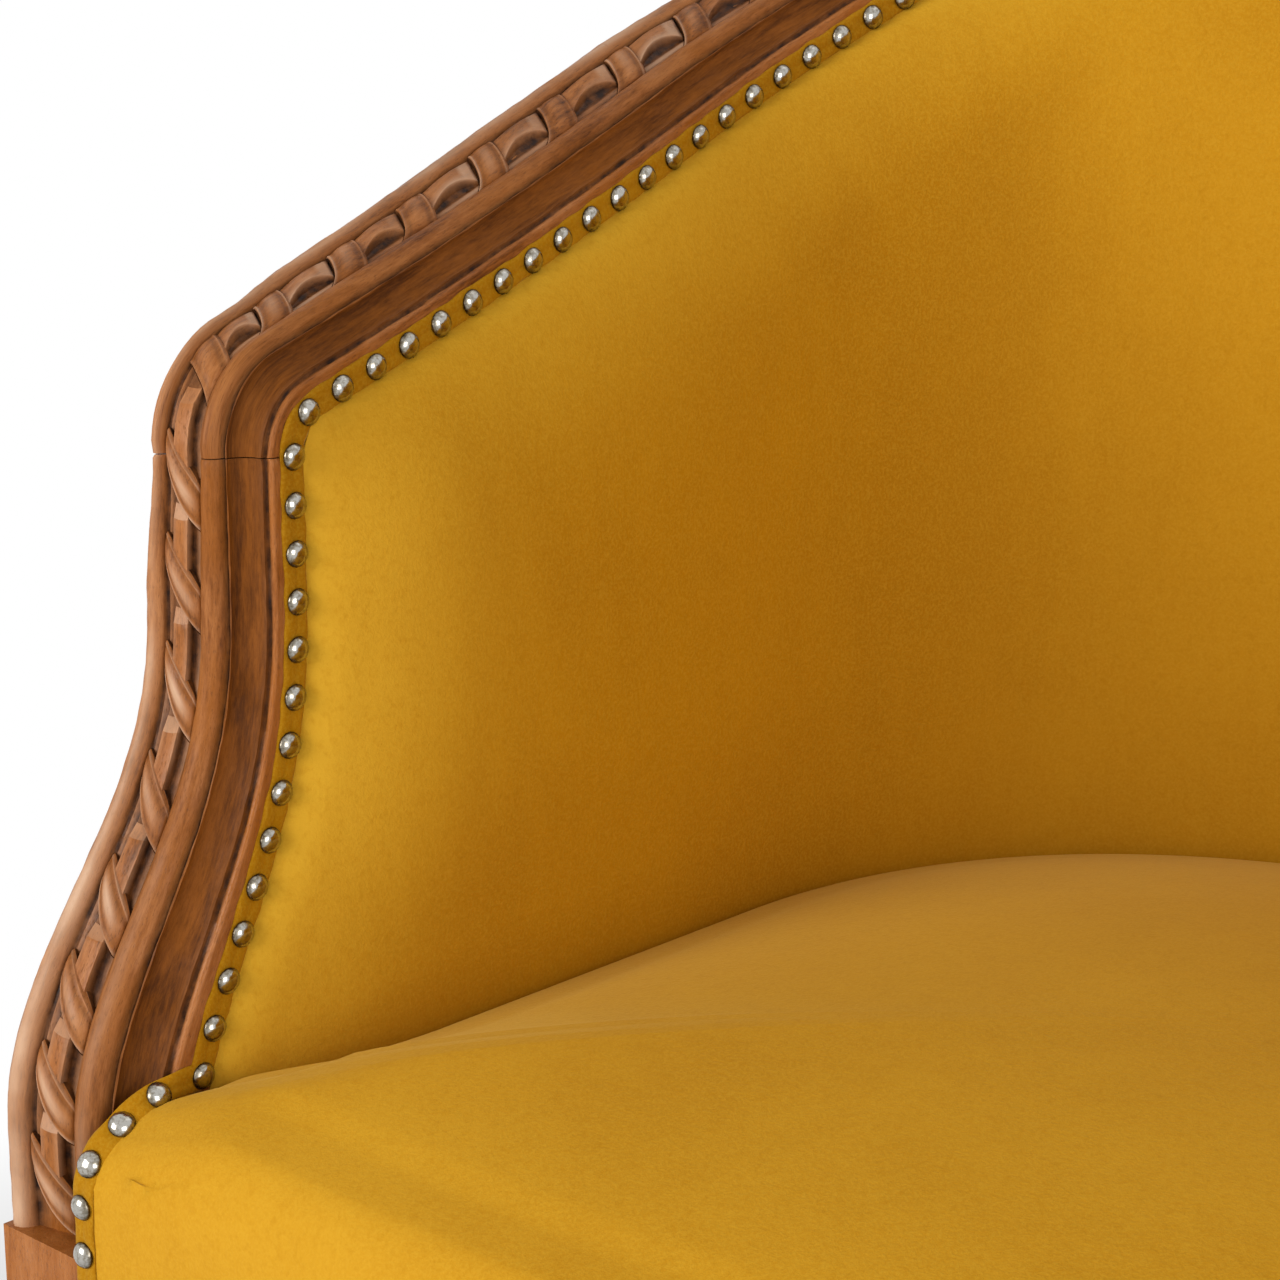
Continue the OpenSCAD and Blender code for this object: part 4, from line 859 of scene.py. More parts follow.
def insideGrid():
    # Rows crowd together at the top edge
    s = columnPlace(np.linspace(0, 1, padding["columns"]))
    v = np.linspace(0, 1, padding["rows"])
    v = 0.4 * v + 0.6 * np.sin(math.pi / 2 * v)
    s, v = np.meshgrid(s, v, indexing="ij")
    top = padTop(bent(s, postTop))
    z = heights["padBottom"] + (top - heights["padBottom"]) * v
    return [bothHalves(spaceAt(bent(s, z), z, depth))
            for depth in (padFront(s, z, top), padding["back"])]


def closedShell(name, front, back):
    # A thin closed solid between two sheets of points
    rows, cols = front.shape[:2]
    total = rows * cols
    verts = np.concatenate([front.reshape(-1, 3), back.reshape(-1, 3)])
    quads = gridQuads(rows, cols)
    faces = [list(f) for f in quads] + [[i + total for i in reversed(f)] for f in quads.tolist()]
    index = np.arange(total).reshape(rows, cols)
    rim = np.concatenate([index[:, 0], index[-1, 1:], index[-2::-1, -1], index[0, -2:0:-1]])
    for a, b in zip(rim, np.roll(rim, -1)):
        faces.append([b, a, a + total, b + total])
    return newPiece(name, verts, faces, sharp=60)


surface, lining = insideGrid()
free = np.zeros(surface.shape[:2], bool)
free[4:-4, 2:-4] = True
surface = swollen(surface, free, surface - lining, padding["swell"])
insideCover = closedShell("inside_velvet", surface, lining)


def fromEnds(rows):
    # How many columns each one lies from the nearer post
    return np.minimum(np.arange(rows), np.arange(rows)[::-1])[:, None]


def insidePaintedSheen(points):
    # Painted sheen along the posts and below the rail, painted shade deep in the middle of the
    # panel
    fromPost = columnPlace(fromEnds(len(points)) / (padding["columns"] - 1))
    fromTop = points[:, -1:, 2] - points[..., 2]
    low = (points[..., 2] - heights["seatEdge"]) / 0.2
    post = bell(fromPost, 0, 0.060, 1.6) * within(0.75 + 0.25 * low)
    under = 0.55 * bell(fromTop, 0, 0.050, 1.5)
    # A narrow painted highlight where the pile meets the band
    lip = 0.35 * bell(fromPost, 0, 0.007) + 0.30 * bell(fromTop, 0, 0.006)
    back = 0.30 * onWay(fromPost, 0.20, 0.25)
    return np.clip(np.maximum(np.maximum(post, under), back) + lip, 0, 1.25)


setLayer(insideCover.data, "paintedSheen", np.tile(insidePaintedSheen(surface).ravel(), 2))
dress(insideCover, "velvet", ["inside_cover"])
print("inside cover shaped")

# Seat: a tight crowned cover that rolls down inside the walls and over the front rail
seat = {
    "crown": 0.038,
    "crownPower": 2.4,
    "rollStart": 0.945,
    "frontEarlier": 0.010,
    "frontRoll": 0.026,
    "wallRoll": 0.010,
    "softGap": 0.0005,
    "frontOut": 0.002,
    "blockIn": 0.01128,
    "blockFront": 0.04048,
    "railSetback": 0.001,
    "bandHalf": 0.0054,
    "bandShare": 0.45,
    "bandRise": 0.30,
    "pullSlope": 0.3,
    "tuck": 0.0002,
    "blend": 0.0014,
    "swell": 0.003,
    "rings": 56,
    "rollRings": 14,
    "heldRings": 18,
    "hub": 0.03,
    "middle": 0.120,
    "spacing": 0.005,
}
cornerPoint = planAt(-plan["postSweep"] - seat["blockFront"] + seat["railSetback"],
                     -seat["blockIn"])
bowRadius = (cornerPoint[0] ** 2 + plan["frontBow"] ** 2) / (2 * plan["frontBow"])
bowCentre = cornerPoint[1] - plan["frontBow"] + bowRadius


def frontY(x, out=0.0):
    return bowCentre - np.sqrt((bowRadius + out) ** 2 - x * x)


def smoothLine(points, spacing):
    # A Catmull-Rom line through the points, then even steps along it
    pts = np.vstack([2 * points[0] - points[1], points, 2 * points[-1] - points[-2]])
    t = np.linspace(0, 1, 12, endpoint=False)[:, None]
    fine = []
    for a, b, c, d in zip(pts, pts[1:], pts[2:], pts[3:]):
        fine.append(0.5 * ((2 * b) + (c - a) * t + (2 * a - 5 * b + 4 * c - d) * t ** 2
                           + (3 * b - a - 3 * c + d) * t ** 3))
    fine = np.vstack(fine + [pts[-2][None]])
    return evenSteps(fine, spacing)


def evenSteps(fine, spacing):
    run = runLength(fine)
    at = np.linspace(0, run[-1], max(2, int(round(run[-1] / spacing)) + 1))
    return np.column_stack([np.interp(at, run, fine[:, k]) for k in range(fine.shape[1])])


def wallOffset(s):
    swell = padding["atSeat"] * edgeEase(s)
    return (padding["back"] + np.maximum(padding["edge"], swell) + lumbarAt(s)
            + seat["softGap"])


def seatOutline():
    # Half outline from the middle of the front round to the middle of the back
    xs = np.linspace(0, cornerPoint[0] + 0.004, 40)
    front = np.column_stack([xs, frontY(xs, seat["frontOut"])])
    side = np.array([[-0.084, -seat["blockIn"] + seat["softGap"]], [-0.070, -0.003],
                     [-0.063, seat["softGap"] + 0.0002]])
    side = planAt(side[:, 0], side[:, 1])
    s = np.linspace(0, halfLen, 120)
    wall = planAt(bent(s, heights["padBottom"]), wallOffset(s))
    half = np.vstack([front, side, wall])
    kind = np.concatenate([np.full(len(front), 1.0), [0.9, 0.6, 0.35], np.zeros(len(wall))])
    half = np.column_stack([half, kind])
    return evenSteps(np.vstack([half, half[-2:0:-1] * mirror, half[:1]]), seat["spacing"])[:-1]


outline = seatOutline()
seatCentre = np.array([0, plan["cornerY"] + seat["middle"]])


def seatTop(t, kind):
    roll = seat["wallRoll"] + (seat["frontRoll"] - seat["wallRoll"]) * kind
    start = seat["rollStart"] - seat["frontEarlier"] * kind
    over = within((t - start) / (1 - start))
    fall = roll * (1 - np.sqrt(within(1 - over ** 2)))
    return heights["seatEdge"] + seat["crown"] * (1 - t ** seat["crownPower"]) - fall


def seatRings():
    roll = seat["rollRings"]
    t = np.concatenate([np.linspace(seat["hub"], 0.93, seat["rings"] - roll),
                        np.linspace(0.94, 1, roll)])[:, None]
    xy = seatCentre + t[..., None] * (outline[None, :, :2] - seatCentre)
    z = seatTop(t, outline[None, :, 2])
    return np.concatenate([xy, z[..., None]], -1)


def seatShell():
    top = seatRings()
    free = np.zeros(top.shape[:2], bool)
    free[:-seat["heldRings"]] = True
    top = swollen(top, free, np.zeros_like(top) + [0, 0, 1], seat["swell"], closed=True)
    edge, z = top[-1, :, :2], top[-1, :, 2]
    side = [np.column_stack([edge, z + (heights["skirt"] - z) * t])
            for t in np.linspace(0.12, 1, 8)]
    under = [np.column_stack([seatCentre + inset * (outline[:, :2] - seatCentre),
                              0 * z + heights["skirt"]]) for inset in (0.93, 0.6, 0.3, 0.06)]
    rings = np.concatenate([top, side, under])
    return rings.reshape(-1, 3), cappedFaces(*rings.shape[:2])


# The band's path from the foot of each post down beside the leg block: inward offset,
# distance forward of the post and height, then the direction that the band faces
corner = {
    "frontGap": 0.0005,
    "turnShare": 0.02,
    "blockOffset": -0.00968,
}
bandFoot = heights["seatEdge"] + 0.003
frontReach = seat["blockFront"] - seat["railSetback"] + seat["frontOut"] + corner["frontGap"]
cornerPath = np.array([
    (-0.0003, -0.0045, bandFoot - 0.0002, 1, 0, 0),
    (0.00015, 0.0047, bandFoot - 0.0005, 1, 0, 0),
    (0.00015, 0.0095, bandFoot - 0.0008, 1, 0, 0.1),
    (-0.0003, 0.0155, bandFoot - 0.0020, 0.85, 0.1, 0.5),
    (-0.0019, 0.0220, bandFoot - 0.0050, 0.7, 0.25, 0.66),
    (-0.0039, 0.0285, bandFoot - 0.0100, 0.55, 0.45, 0.7),
    (-0.0058, 0.0345, bandFoot - 0.0150, 0.4, 0.65, 0.64),
    (-0.0077, 0.0395, bandFoot - 0.0220, 0.2, 0.85, 0.45),
    (-0.0091, frontReach - 0.0001, bandFoot - 0.0300, 0.05, 0.97, 0.22),
    (corner["blockOffset"], frontReach, bandFoot - 0.0380, 0, 1, 0.05),
    (corner["blockOffset"], frontReach, heights["skirt"] + 0.013, 0, 1, 0),
])


def cornerLineOf(path):
    points = spaceAt(-plan["postSweep"] - path[:, 1], path[:, 2], path[:, 0])
    n = path[:, 3:6]
    normals = np.column_stack([n[:, 0] * math.cos(splay) - n[:, 1] * math.sin(splay),
                               -n[:, 0] * math.sin(splay) - n[:, 1] * math.cos(splay), n[:, 2]])
    return points, unit(normals)


rawPoints, rawNormals = cornerLineOf(cornerPath)
fineCorner = smoothLine(np.column_stack([rawPoints, rawNormals * corner["turnShare"]]), 0.0012)
cornerPoints = fineCorner[:, :3]
cornerNormals = unit(fineCorner[:, 3:])


def tuckedUnderBand(points):
    # The cloth passes under the corner band and rises gently away from it
    moved = points.copy()
    base, half = planAt(0.0, 0.0), seat["bandHalf"]
    line = cornerPoints[:, :2] - base
    ahead = -(line @ [math.sin(splay), math.cos(splay)])
    offset = line @ [math.cos(splay), -math.sin(splay)]
    turned = cornerNormals[:, :2] @ [math.cos(splay), -math.sin(splay)]
    onTop = moved[:, 2] > heights["skirt"] + 0.030
    for flip in (1, -1):
        v = moved[:, :2] * [flip, 1] - base
        f = -(v @ [math.sin(splay), math.cos(splay)])
        o = v @ [math.cos(splay), -math.sin(splay)]
        pick = lambda row: np.interp(f, ahead, row)
        inward = within(pick(turned))
        away = np.hypot(np.clip(o - pick(offset), 0, None), np.clip(ahead[0] - f, 0, None))
        cap = (pick(cornerPoints[:, 2]) - seat["bandShare"] * half * inward - seat["tuck"]
               + seat["bandRise"] * np.clip(away - half * (1 - inward), 0, None))
        over = (moved[:, 2] - cap) / seat["blend"]
        # The pull ends where the band turns to face forward, down the front of the rail
        pull = within(np.maximum(inward, pick(cornerNormals[:, 2]) / seat["pullSlope"]))
        lowered = seat["blend"] * np.log1p(np.exp(np.clip(over, -30, 30)))
        moved[:, 2] -= np.where(onTop, lowered * pull, 0)
    return moved


seatPoints, seatFaces = seatShell()
seatPoints = tuckedUnderBand(seatPoints)
seatCover = newPiece("seat_velvet", seatPoints, seatFaces, sharp=60)
# Painted sheen on the seat, a little stronger towards the front
forward = np.clip(-(seatPoints[:, 1] - plan["cornerY"]) / 0.1, -1, 1)
setLayer(seatCover.data, "paintedSheen", 0.42 + 0.06 * forward)
dress(seatCover, "velvet", ["seat_cover"])
print("seat cover shaped:", len(seatPoints), "points")


# Nails: one domed head on every place where the frame has a nail
nails = {
    "diameter": 0.0100,
    "height": 0.0030,
    "sides": 16,
    "rimDrop": 0.0003,
    "rimHeight": 0.00025,
    "weld": 1e-5,
    "rimReach": 1e-4,
    "tilt": 0.05,
    "sizeSpread": 0.03,
    "sink": 0.0002,
}


def nailPlaces(node):
    # The centre and outward direction of each loose solid in a row of nails
    mesh = bmesh.new()
    mesh.from_mesh(nodes[node].data)
    bmesh.ops.remove_doubles(mesh, verts=mesh.verts, dist=nails["weld"])
    mesh.verts.ensure_lookup_table()
    seen = set()
    places = []
    for start in mesh.verts:
        if start.index in seen:
            continue
        group = [start]
        seen.add(start.index)
        for vert in group:
            for edge in vert.link_edges:
                other = edge.other_vert(vert)
                if other.index not in seen:
                    seen.add(other.index)
                    group.append(other)
        co = np.array([v.co for v in group])
        axis = np.linalg.svd(co - co.mean(0), full_matrices=False)[2][2]
        high = (co - co.mean(0)) @ axis
        out = np.linalg.norm(co - co.mean(0) - high[:, None] * axis, axis=1)
        if np.corrcoef(high, out)[0, 1] > 0:
            axis = -axis
            high = -high
        places.append((*co[high < high.min() + nails["rimReach"]].mean(0), *axis))
    mesh.free()
    return np.array(places)


def nailHead():
    # A low dome with a small turned-in rim
    r, h, n = nails["diameter"] / 2, nails["height"], nails["sides"]
    profile = [(r * 0.93, -nails["rimDrop"]), (r, nails["rimHeight"]), (r * 0.93, h * 0.30),
               (r * 0.76, h * 0.62), (r * 0.52, h * 0.85), (r * 0.26, h * 0.965)]
    verts = [(radius * math.cos(2 * math.pi * k / n), radius * math.sin(2 * math.pi * k / n), z)
             for radius, z in profile for k in range(n)] + [(0, 0, h)]
    faces = gridQuads(len(profile), n, closed=True)[:, [0, 3, 2, 1]].tolist()
    last = (len(profile) - 1) * n
    faces += [[last + k, last + (k + 1) % n, len(verts) - 1] for k in range(n)]
    faces.append(list(reversed(range(n))))
    # Painted shade towards the rim, for the material
    rim = np.append(np.repeat([1.0, 0.95, 0.55, 0.15, 0.0, 0.0], n), 0.0)
    return newPiece("nail_head", verts, faces, values={"rim": rim}, turn=False)


def pointCloud(name, places, **values):
    # A mesh of loose points that carry attributes
    return newPiece(name, places, [], values=values, turn=False)


class Grower(Nodes):
    # A geometry tree with the named inputs, whose sockets are given and identifiers ids
    def __init__(self, name, labels):
        super().__init__(bpy.data.node_groups.new(name, "GeometryNodeTree"))
        sockets = self.tree.interface
        self.ids = {}
        for label, kind in (("Geometry", "Geometry"), *labels):
            item = sockets.new_socket(label, in_out="INPUT", socket_type=f"NodeSocket{kind}")
            self.ids[label] = item.identifier
        sockets.new_socket("Geometry", in_out="OUTPUT", socket_type="NodeSocketGeometry")
        self.given = self.add("NodeGroupInput").outputs

    def chance(self, kind, low, high):
        # A random value for each point; the sockets of a Float come after those of a Vector
        first = 2 if kind == "FLOAT" else 0
        node = self.add("FunctionNodeRandomValue", data_type=kind)
        for slot, value in ((first, low), (first + 1, high), ("Seed", self.given["Seed"])):
            self.put(node.inputs[slot], value)
        return node.outputs[first // 2]

    def named(self, label, kind="FLOAT"):
        node = self.add("GeometryNodeInputNamedAttribute", {"Name": label}, data_type=kind)
        return node.outputs["Attribute"]

    def vector(self, **axes):
        return self.add("ShaderNodeCombineXYZ", axes).outputs[0]

    def moved(self, offset):
        return self.add("GeometryNodeSetPosition", {"Geometry": self.given["Geometry"],
                                                    "Offset": offset}).outputs[0]

    def copied(self, points, label, **slots):
        shape = self.add("GeometryNodeObjectInfo", {"Object": self.given[label]})
        return self.add("GeometryNodeInstanceOnPoints", {
            "Points": points, "Instance": shape.outputs["Geometry"], **slots}).outputs[0]

    def finish(self, copies):
        real = self.add("GeometryNodeRealizeInstances", {0: copies}).outputs[0]
        last = self.add("GeometryNodeSetMaterial", {"Geometry": real,
                                                    "Material": self.given["Finish"]})
        self.add("NodeGroupOutput", {0: last.outputs[0]})
        return self


def scatterTree():
    # A source object on every point, faced outwards, with a little chance
    make = Grower("onPoints", (
        ("Source", "Object"), ("Finish", "Material"), ("Tilt", "Float"),
        ("Size Spread", "Float"), ("Sink", "Float"), ("Seed", "Int")))
    given = make.given
    facing = make.named("facing", "FLOAT_VECTOR")
    align = make.add("FunctionNodeAlignRotationToVector", {"Vector": facing}, axis="Z")
    sway = make.chance("FLOAT_VECTOR", (-1, -1, -3.14), (1, 1, 3.14))
    lean = make.vector(X=given["Tilt"], Y=given["Tilt"], Z=1)
    tilted = make.add("ShaderNodeVectorMath", {0: sway, 1: lean}, operation="MULTIPLY")
    turn = make.add("FunctionNodeEulerToRotation", {0: tilted.outputs[0]})
    both = make.add("FunctionNodeRotateRotation", {"Rotation": align.outputs["Rotation"],
                                                   "Rotate By": turn.outputs[0]},
                    rotation_space="LOCAL")
    size = make.chance("FLOAT", make.maths("SUBTRACT", 1, given["Size Spread"]), 1)
    down = make.add("ShaderNodeVectorMath", {0: facing, "Scale": make.times(given["Sink"], -1)},
                    operation="SCALE")
    return make.finish(make.copied(make.moved(down.outputs[0]), "Source",
                                   Rotation=both.outputs[0], Scale=size))


scatter = scatterTree()


def grown(carrier, grower, **inputs):
    # The mesh that a tree makes of a carrier; the inputs are set by their names
    modifier = carrier.modifiers.new("grow", "NODES")
    modifier.node_group = grower.tree
    for key, value in inputs.items():
        modifier[grower.ids[key.replace("_", " ")]] = value
    bpy.context.view_layer.update()
    seen = carrier.evaluated_get(bpy.context.evaluated_depsgraph_get())
    mesh = bpy.data.meshes.new_from_object(seen)
    carrier.modifiers.remove(modifier)
    return mesh


def scattered(points, source, finish, **inputs):
    # Puts the source on each point of a cloud, and leaves the result as a plain mesh piece
    mesh = grown(points, scatter, Source=source, Finish=materials[finish], **inputs)
    old = points.data
    points.data = mesh
    bpy.data.meshes.remove(old)
    return points


head = nailHead()
nailRows = {}
for seed, side in enumerate(("inside", "seat", "outside"), start=3):
    node = f"{side}_nails"
    nailRows[node] = nailPlaces(node)
    cloud = pointCloud(f"{side}_nail_heads", nailRows[node][:, :3],
                       facing=nailRows[node][:, 3:])
    row = scattered(cloud, head, "nail", Tilt=nails["tilt"], Size_Spread=nails["sizeSpread"],
                    Sink=nails["sink"], Seed=seed)
    dress(row, "nail", [node])
bpy.data.objects.remove(head)
print("nails set:", sum(len(r) for r in nailRows.values()))


# Bands: flat strips of the same velvet, puckered where the nails press them
band = {
    "half": 0.0054,
    "thickness": 0.0012,
    "layer": 0.00015,
    "press": 0.0006,
    "pressReach": 0.0062,
    "edgeThin": 0.75,
    "crease": 0.00035,
    "creaseWidth": 0.16,
    "thinnest": 0.00025,
    "handwork": 0.00012,
    "edgeWave": 0.00035,
    "across": 13,
}


def bandStrip(points, normals, places, seed):
    # A thin closed strip along a line of points, which faces along the normals
    across = unit(np.cross(normals, np.gradient(points, axis=0)))
    w = np.linspace(-1, 1, band["across"])
    along = runLength(points)
    edgeWave = ripple(along, 0.0, band["edgeWave"], seed)[:, None]
    out = band["half"] * w[None] + edgeWave * np.sign(w)[None]
    side = points[:, None] + out[..., None] * across[:, None]
    lift = band["layer"] + band["thickness"] * (1 - band["edgeThin"] * np.abs(w) ** 6)[None]
    lift = lift - band["crease"] * bell(w, 0, band["creaseWidth"])[None]
    lift = lift + ripple(along[:, None], w[None] * 0.02, band["handwork"], seed + 1)
    away = np.ones(side.shape[:2])
    for place in places[:, :3]:
        away = np.minimum(away, np.linalg.norm(side - place, axis=2))
    lift = lift - band["press"] * bell(away, 0, band["pressReach"], 4)
    lift = np.maximum(lift, band["layer"] + band["thinnest"])
    top = side + lift[..., None] * normals[:, None]
    low = side + band["layer"] * 0.5 * normals[:, None]
    ring = np.concatenate([top, low[:, ::-1]], 1)
    return ring.reshape(-1, 3), cappedFaces(*ring.shape[:2])


def stack(parts):
    verts, faces, start = [], [], 0
    for points, some in parts:
        verts.append(points)
        faces += [[i + start for i in f] for f in some]
        start += len(points)
    return np.vstack(verts), faces


def flippedPart(part):
    points, faces = part
    return points * mirror, [list(reversed(f)) for f in faces]


insideLine = joined(postStations(bandFoot, postTop, 0.0022), skipped(cornerStations(22)),
                    skipped(armStations(cornerEnd, halfLen, 0.0022)))
wholeLine = joined(insideLine, mirrored(insideLine))
part = bandStrip(wholeLine["point"], wholeLine["inward"], nailRows["inside_nails"], seed=31)
dress(newPiece("inside_band_velvet", *part, sharp=70), "band", ["inside_band"])

cornerPart = bandStrip(cornerPoints, cornerNormals, nailRows["seat_nails"], seed=33)
reach = abs(cornerPoints[-1][0]) + 0.004
xs = np.linspace(-reach, reach, 300)
stripOut = seat["frontOut"] + band["layer"]
frontLine = np.column_stack([xs, frontY(xs, stripOut), 0 * xs + heights["skirt"] + band["half"]])
turned = np.arcsin(xs / (bowRadius + stripOut))
frontNormals = np.column_stack([np.sin(turned), -np.cos(turned), 0 * xs])
frontPart = bandStrip(frontLine, frontNormals, nailRows["seat_nails"], seed=34)
part = stack([cornerPart, flippedPart(cornerPart), frontPart])
dress(newPiece("seat_band_velvet", *part, sharp=70), "band", ["seat_band"])
print("bands laid")


# Carving: a ribbon wound round a stick, laid in the channel between the two beads
carving = {
    "places": [0.0181, 0.0533, 0.0866, 0.1229, 0.1621, 0.2029, 0.2425, 0.2796, 0.3209, 0.3543,
               0.3946, 0.4324, 0.4741, 0.5156, 0.5585, 0.6014],
    "laterPitch": 0.0407,
    "laterCount": 10,
    "halfWidth": 0.0080,
    "reach": 0.0084,
    "height": 0.0050,
    "lip": 0.0007,
    "hollow": 0.0006,
    "crescent": 0.0018,
    "flare": 0.0034,
    "onPost": 8,
    "postHalfWidth": 0.0092,
    "postTips": 0.60,
    "postHook": 0.0030,
    "barHalf": 0.0034,
    "barHeight": 0.0036,
    "barPitch": 0.039,
    "postLean": 1.40,
    "armLean": 0.62,
    "stickHalf": 0.0072,
    "stickHeight": 0.0038,
    "gap": 0.0004,
    "sizeSpread": 0.07,
    "sway": 0.05,
    "hookMiddle": 0.4,
    "leanFade": 0.030,
}


def closedGrid(name, points, recess, wearAndHighlight):
    # A solid from rows of points, closed round each row and capped at both ends
    faces = cappedFaces(*points.shape[:2])
    return newPiece(name, points.reshape(-1, 3), faces,
                    values={"recess": recess.ravel(), "wearAndHighlight": within(wearAndHighlight).ravel()})


def ribbonWrap(width, tips):
    # One turn of the ribbon: a rounded lump with a thin lip below and a rim above
    u = np.array([-1, -1, -0.985, -0.95, -0.90, -0.84, -0.76, -0.64, -0.46, -0.22, 0.04, 0.30,
                  0.52, 0.70, 0.82, 0.91, 0.97, 1, 1])
    q = np.radians(np.linspace(-104, 104, 19))
    u, q = np.meshgrid(u, q, indexing="ij")
    r = within(1 - np.abs(u) ** 3.2) ** 0.5
    r[0], r[-1] = 0.05, 0.05
    r[1], r[-2] = 0.40, 0.30
    lip = carving["lip"] * bell(u, -0.90, 0.055)
    rim = 0.6 * carving["lip"] * bell(u, 0.84, 0.07)
    hollow = carving["hollow"] * (bell(u, -0.62, 0.20) + 0.7 * bell(u, 0.60, 0.16))
    high = carving["height"] * (0.34 + 0.66 * r) + lip + rim - hollow
    high[0], high[-1] = 0.0, 0.0
    inner = within(np.sin(q))
    slim = 1 - tips * (1 - within(np.cos(q)) ** 0.8)
    x = (u * width * slim * (1 + 0.10 * np.sin(q)) + carving["crescent"] * np.cos(q)
         - carving["flare"] * inner ** 4 * within(-u) ** 2)
    y = carving["reach"] * np.sin(q)
    z = high * np.sign(np.cos(q)) * np.abs(np.cos(q)) ** 0.75
    # Painted shade with dirt low down, at the ends and in the hollows
    recess = within(1 - z / 0.0014) * (1 - 0.7 * inner)
    recess = np.maximum(recess, np.where(np.abs(u) > 0.975, 0.9, 0.0))
    recess = np.maximum(recess, 0.40 * bell(u, -0.62, 0.16))
    recess = np.maximum(recess, 0.55 * bell(u, 0.60, 0.12))
    # Painted highlights with wear on the lip, the rim and the crown
    wearAndHighlight = (0.9 * bell(u, -0.90, 0.06) + 0.7 * bell(u, 0.85, 0.06)
              + (0.45 + tips) * bell(u, -0.05, 0.35) * within(np.cos(q)) ** 3)
    return closedGrid("ribbon_wrap", np.stack([x, y, z], -1), recess, wearAndHighlight)


def stickLength():
    # The stick between two turns, one unit long: an arched ridge over a hollow, with painted shade
    # in the hollow
    half, top = carving["stickHalf"], carving["stickHeight"]
    t = np.array([0, 0, 0.04, 0.10, 0.18, 0.28, 0.38, 0.50, 0.62, 0.72, 0.81, 0.89, 0.95, 1, 1])
    arch = within(np.sin(math.pi * t)) ** 0.8
    high = top * (0.62 + 0.38 * arch)
    high[0], high[-1] = 0.2 * top, 0.1 * top
    ridge = half * (0.50 - 0.62 * arch)
    hollowEnd = half * (0.54 + 0.06 * arch)
    part = np.array([0, 0.03, 0.10, 0.30, 0.60, 0.88, 1.0])
    rows = []
    for k in range(len(t)):
        outer = -half + (ridge[k] + half) * part
        inner = ridge[k] + (hollowEnd[k] - ridge[k]) * np.array([0.10, 0.32, 0.62, 0.90])
        floor = hollowEnd[k] + (half - hollowEnd[k]) * np.array([0.25, 0.60, 1.0, 1.0])
        z = np.concatenate([high[k] * np.array([-0.3, 0.55, 0.78, 0.90, 0.97, 1.0, 0.98]),
                            high[k] * np.array([0.78, 0.16, 0.05, 0.12]),
                            top * np.array([0.26, 0.30, 0.22, -0.3])])
        rows.append(np.column_stack([np.full(len(z), t[k]), np.concatenate([outer, inner, floor]),
                                     z]))
    # Painted shade with dirt at the ends, in the hollow and at the foot
    recess = np.tile([0.9, 0.6, 0.15, 0, 0, 0, 0, 0.35, 0.95, 1.0, 0.8, 0.25, 0.15, 0.5, 0.9],
                     (len(t), 1))
    # Painted highlights with wear on the ridge and the upper end
    wearAndHighlight = np.tile([0, 0, 0.1, 0.1, 0.15, 0.5, 0.8, 0.3, 0, 0, 0, 0.6, 0.7, 0.2, 0],
                     (len(t), 1))
    recess[:2] = recess[-2:] = 0.85
    wearAndHighlight[-5:-2, 1:7] = 0.75
    return closedGrid("stick_length", np.array(rows), recess, wearAndHighlight)


def barLength():
    # On the posts the stick stands up as a plain bar whose upper end is cut to a facet
    half, top = carving["barHalf"], carving["barHeight"]
    t = np.array([0, 0, 0.12, 0.30, 0.48, 0.60, 0.655, 0.66, 0.80, 0.805, 0.9, 1, 1])
    high = top * np.array([0.1, 0.9, 0.95, 1, 1, 1, 1, 0.98, 0.62, 0.55, 0.5, 0.5, 0.1])
    side = np.array([-1, -0.97, -0.9, -0.35, 0.35, 0.9, 0.97, 1])
    floor = carving["reach"] * 0.92
    rows = []
    for k in range(len(t)):
        y = np.concatenate([[-floor, -floor * 0.9, -half * 1.35], side * half,
                            [half * 1.35, floor * 0.9, floor]])
        z = np.concatenate([[-0.1 * top, 0.10 * top, 0.06 * top],
                            high[k] * np.array([0.1, 0.75, 0.94, 1, 1, 0.94, 0.75, 0.1]),
                            [0.04 * top, 0.14 * top, -0.1 * top]])
        rows.append(np.column_stack([t[k] + carving["postLean"] * y / carving["barPitch"], y, z]))
    # Painted shade with dirt at the foot and beside the bar, and below the facet
    recess = np.tile([0.9, 0.25, 0.8, 0.9, 0.15, 0, 0, 0, 0, 0.4, 0.95, 0.95, 0.35, 0.9],
                     (len(t), 1))
    # Painted highlights with wear on the edges and the facet
    wearAndHighlight = np.tile([0, 0.3, 0, 0, 0.4, 0.3, 0.05, 0.05, 0.3, 0.4, 0, 0, 0.5, 0], (len(t), 1))
    wearAndHighlight[7:9, 4:10] = 0.6
    recess[9:, 4:10] = 0.6
    return closedGrid("stick_bar", np.array(rows), recess, wearAndHighlight)


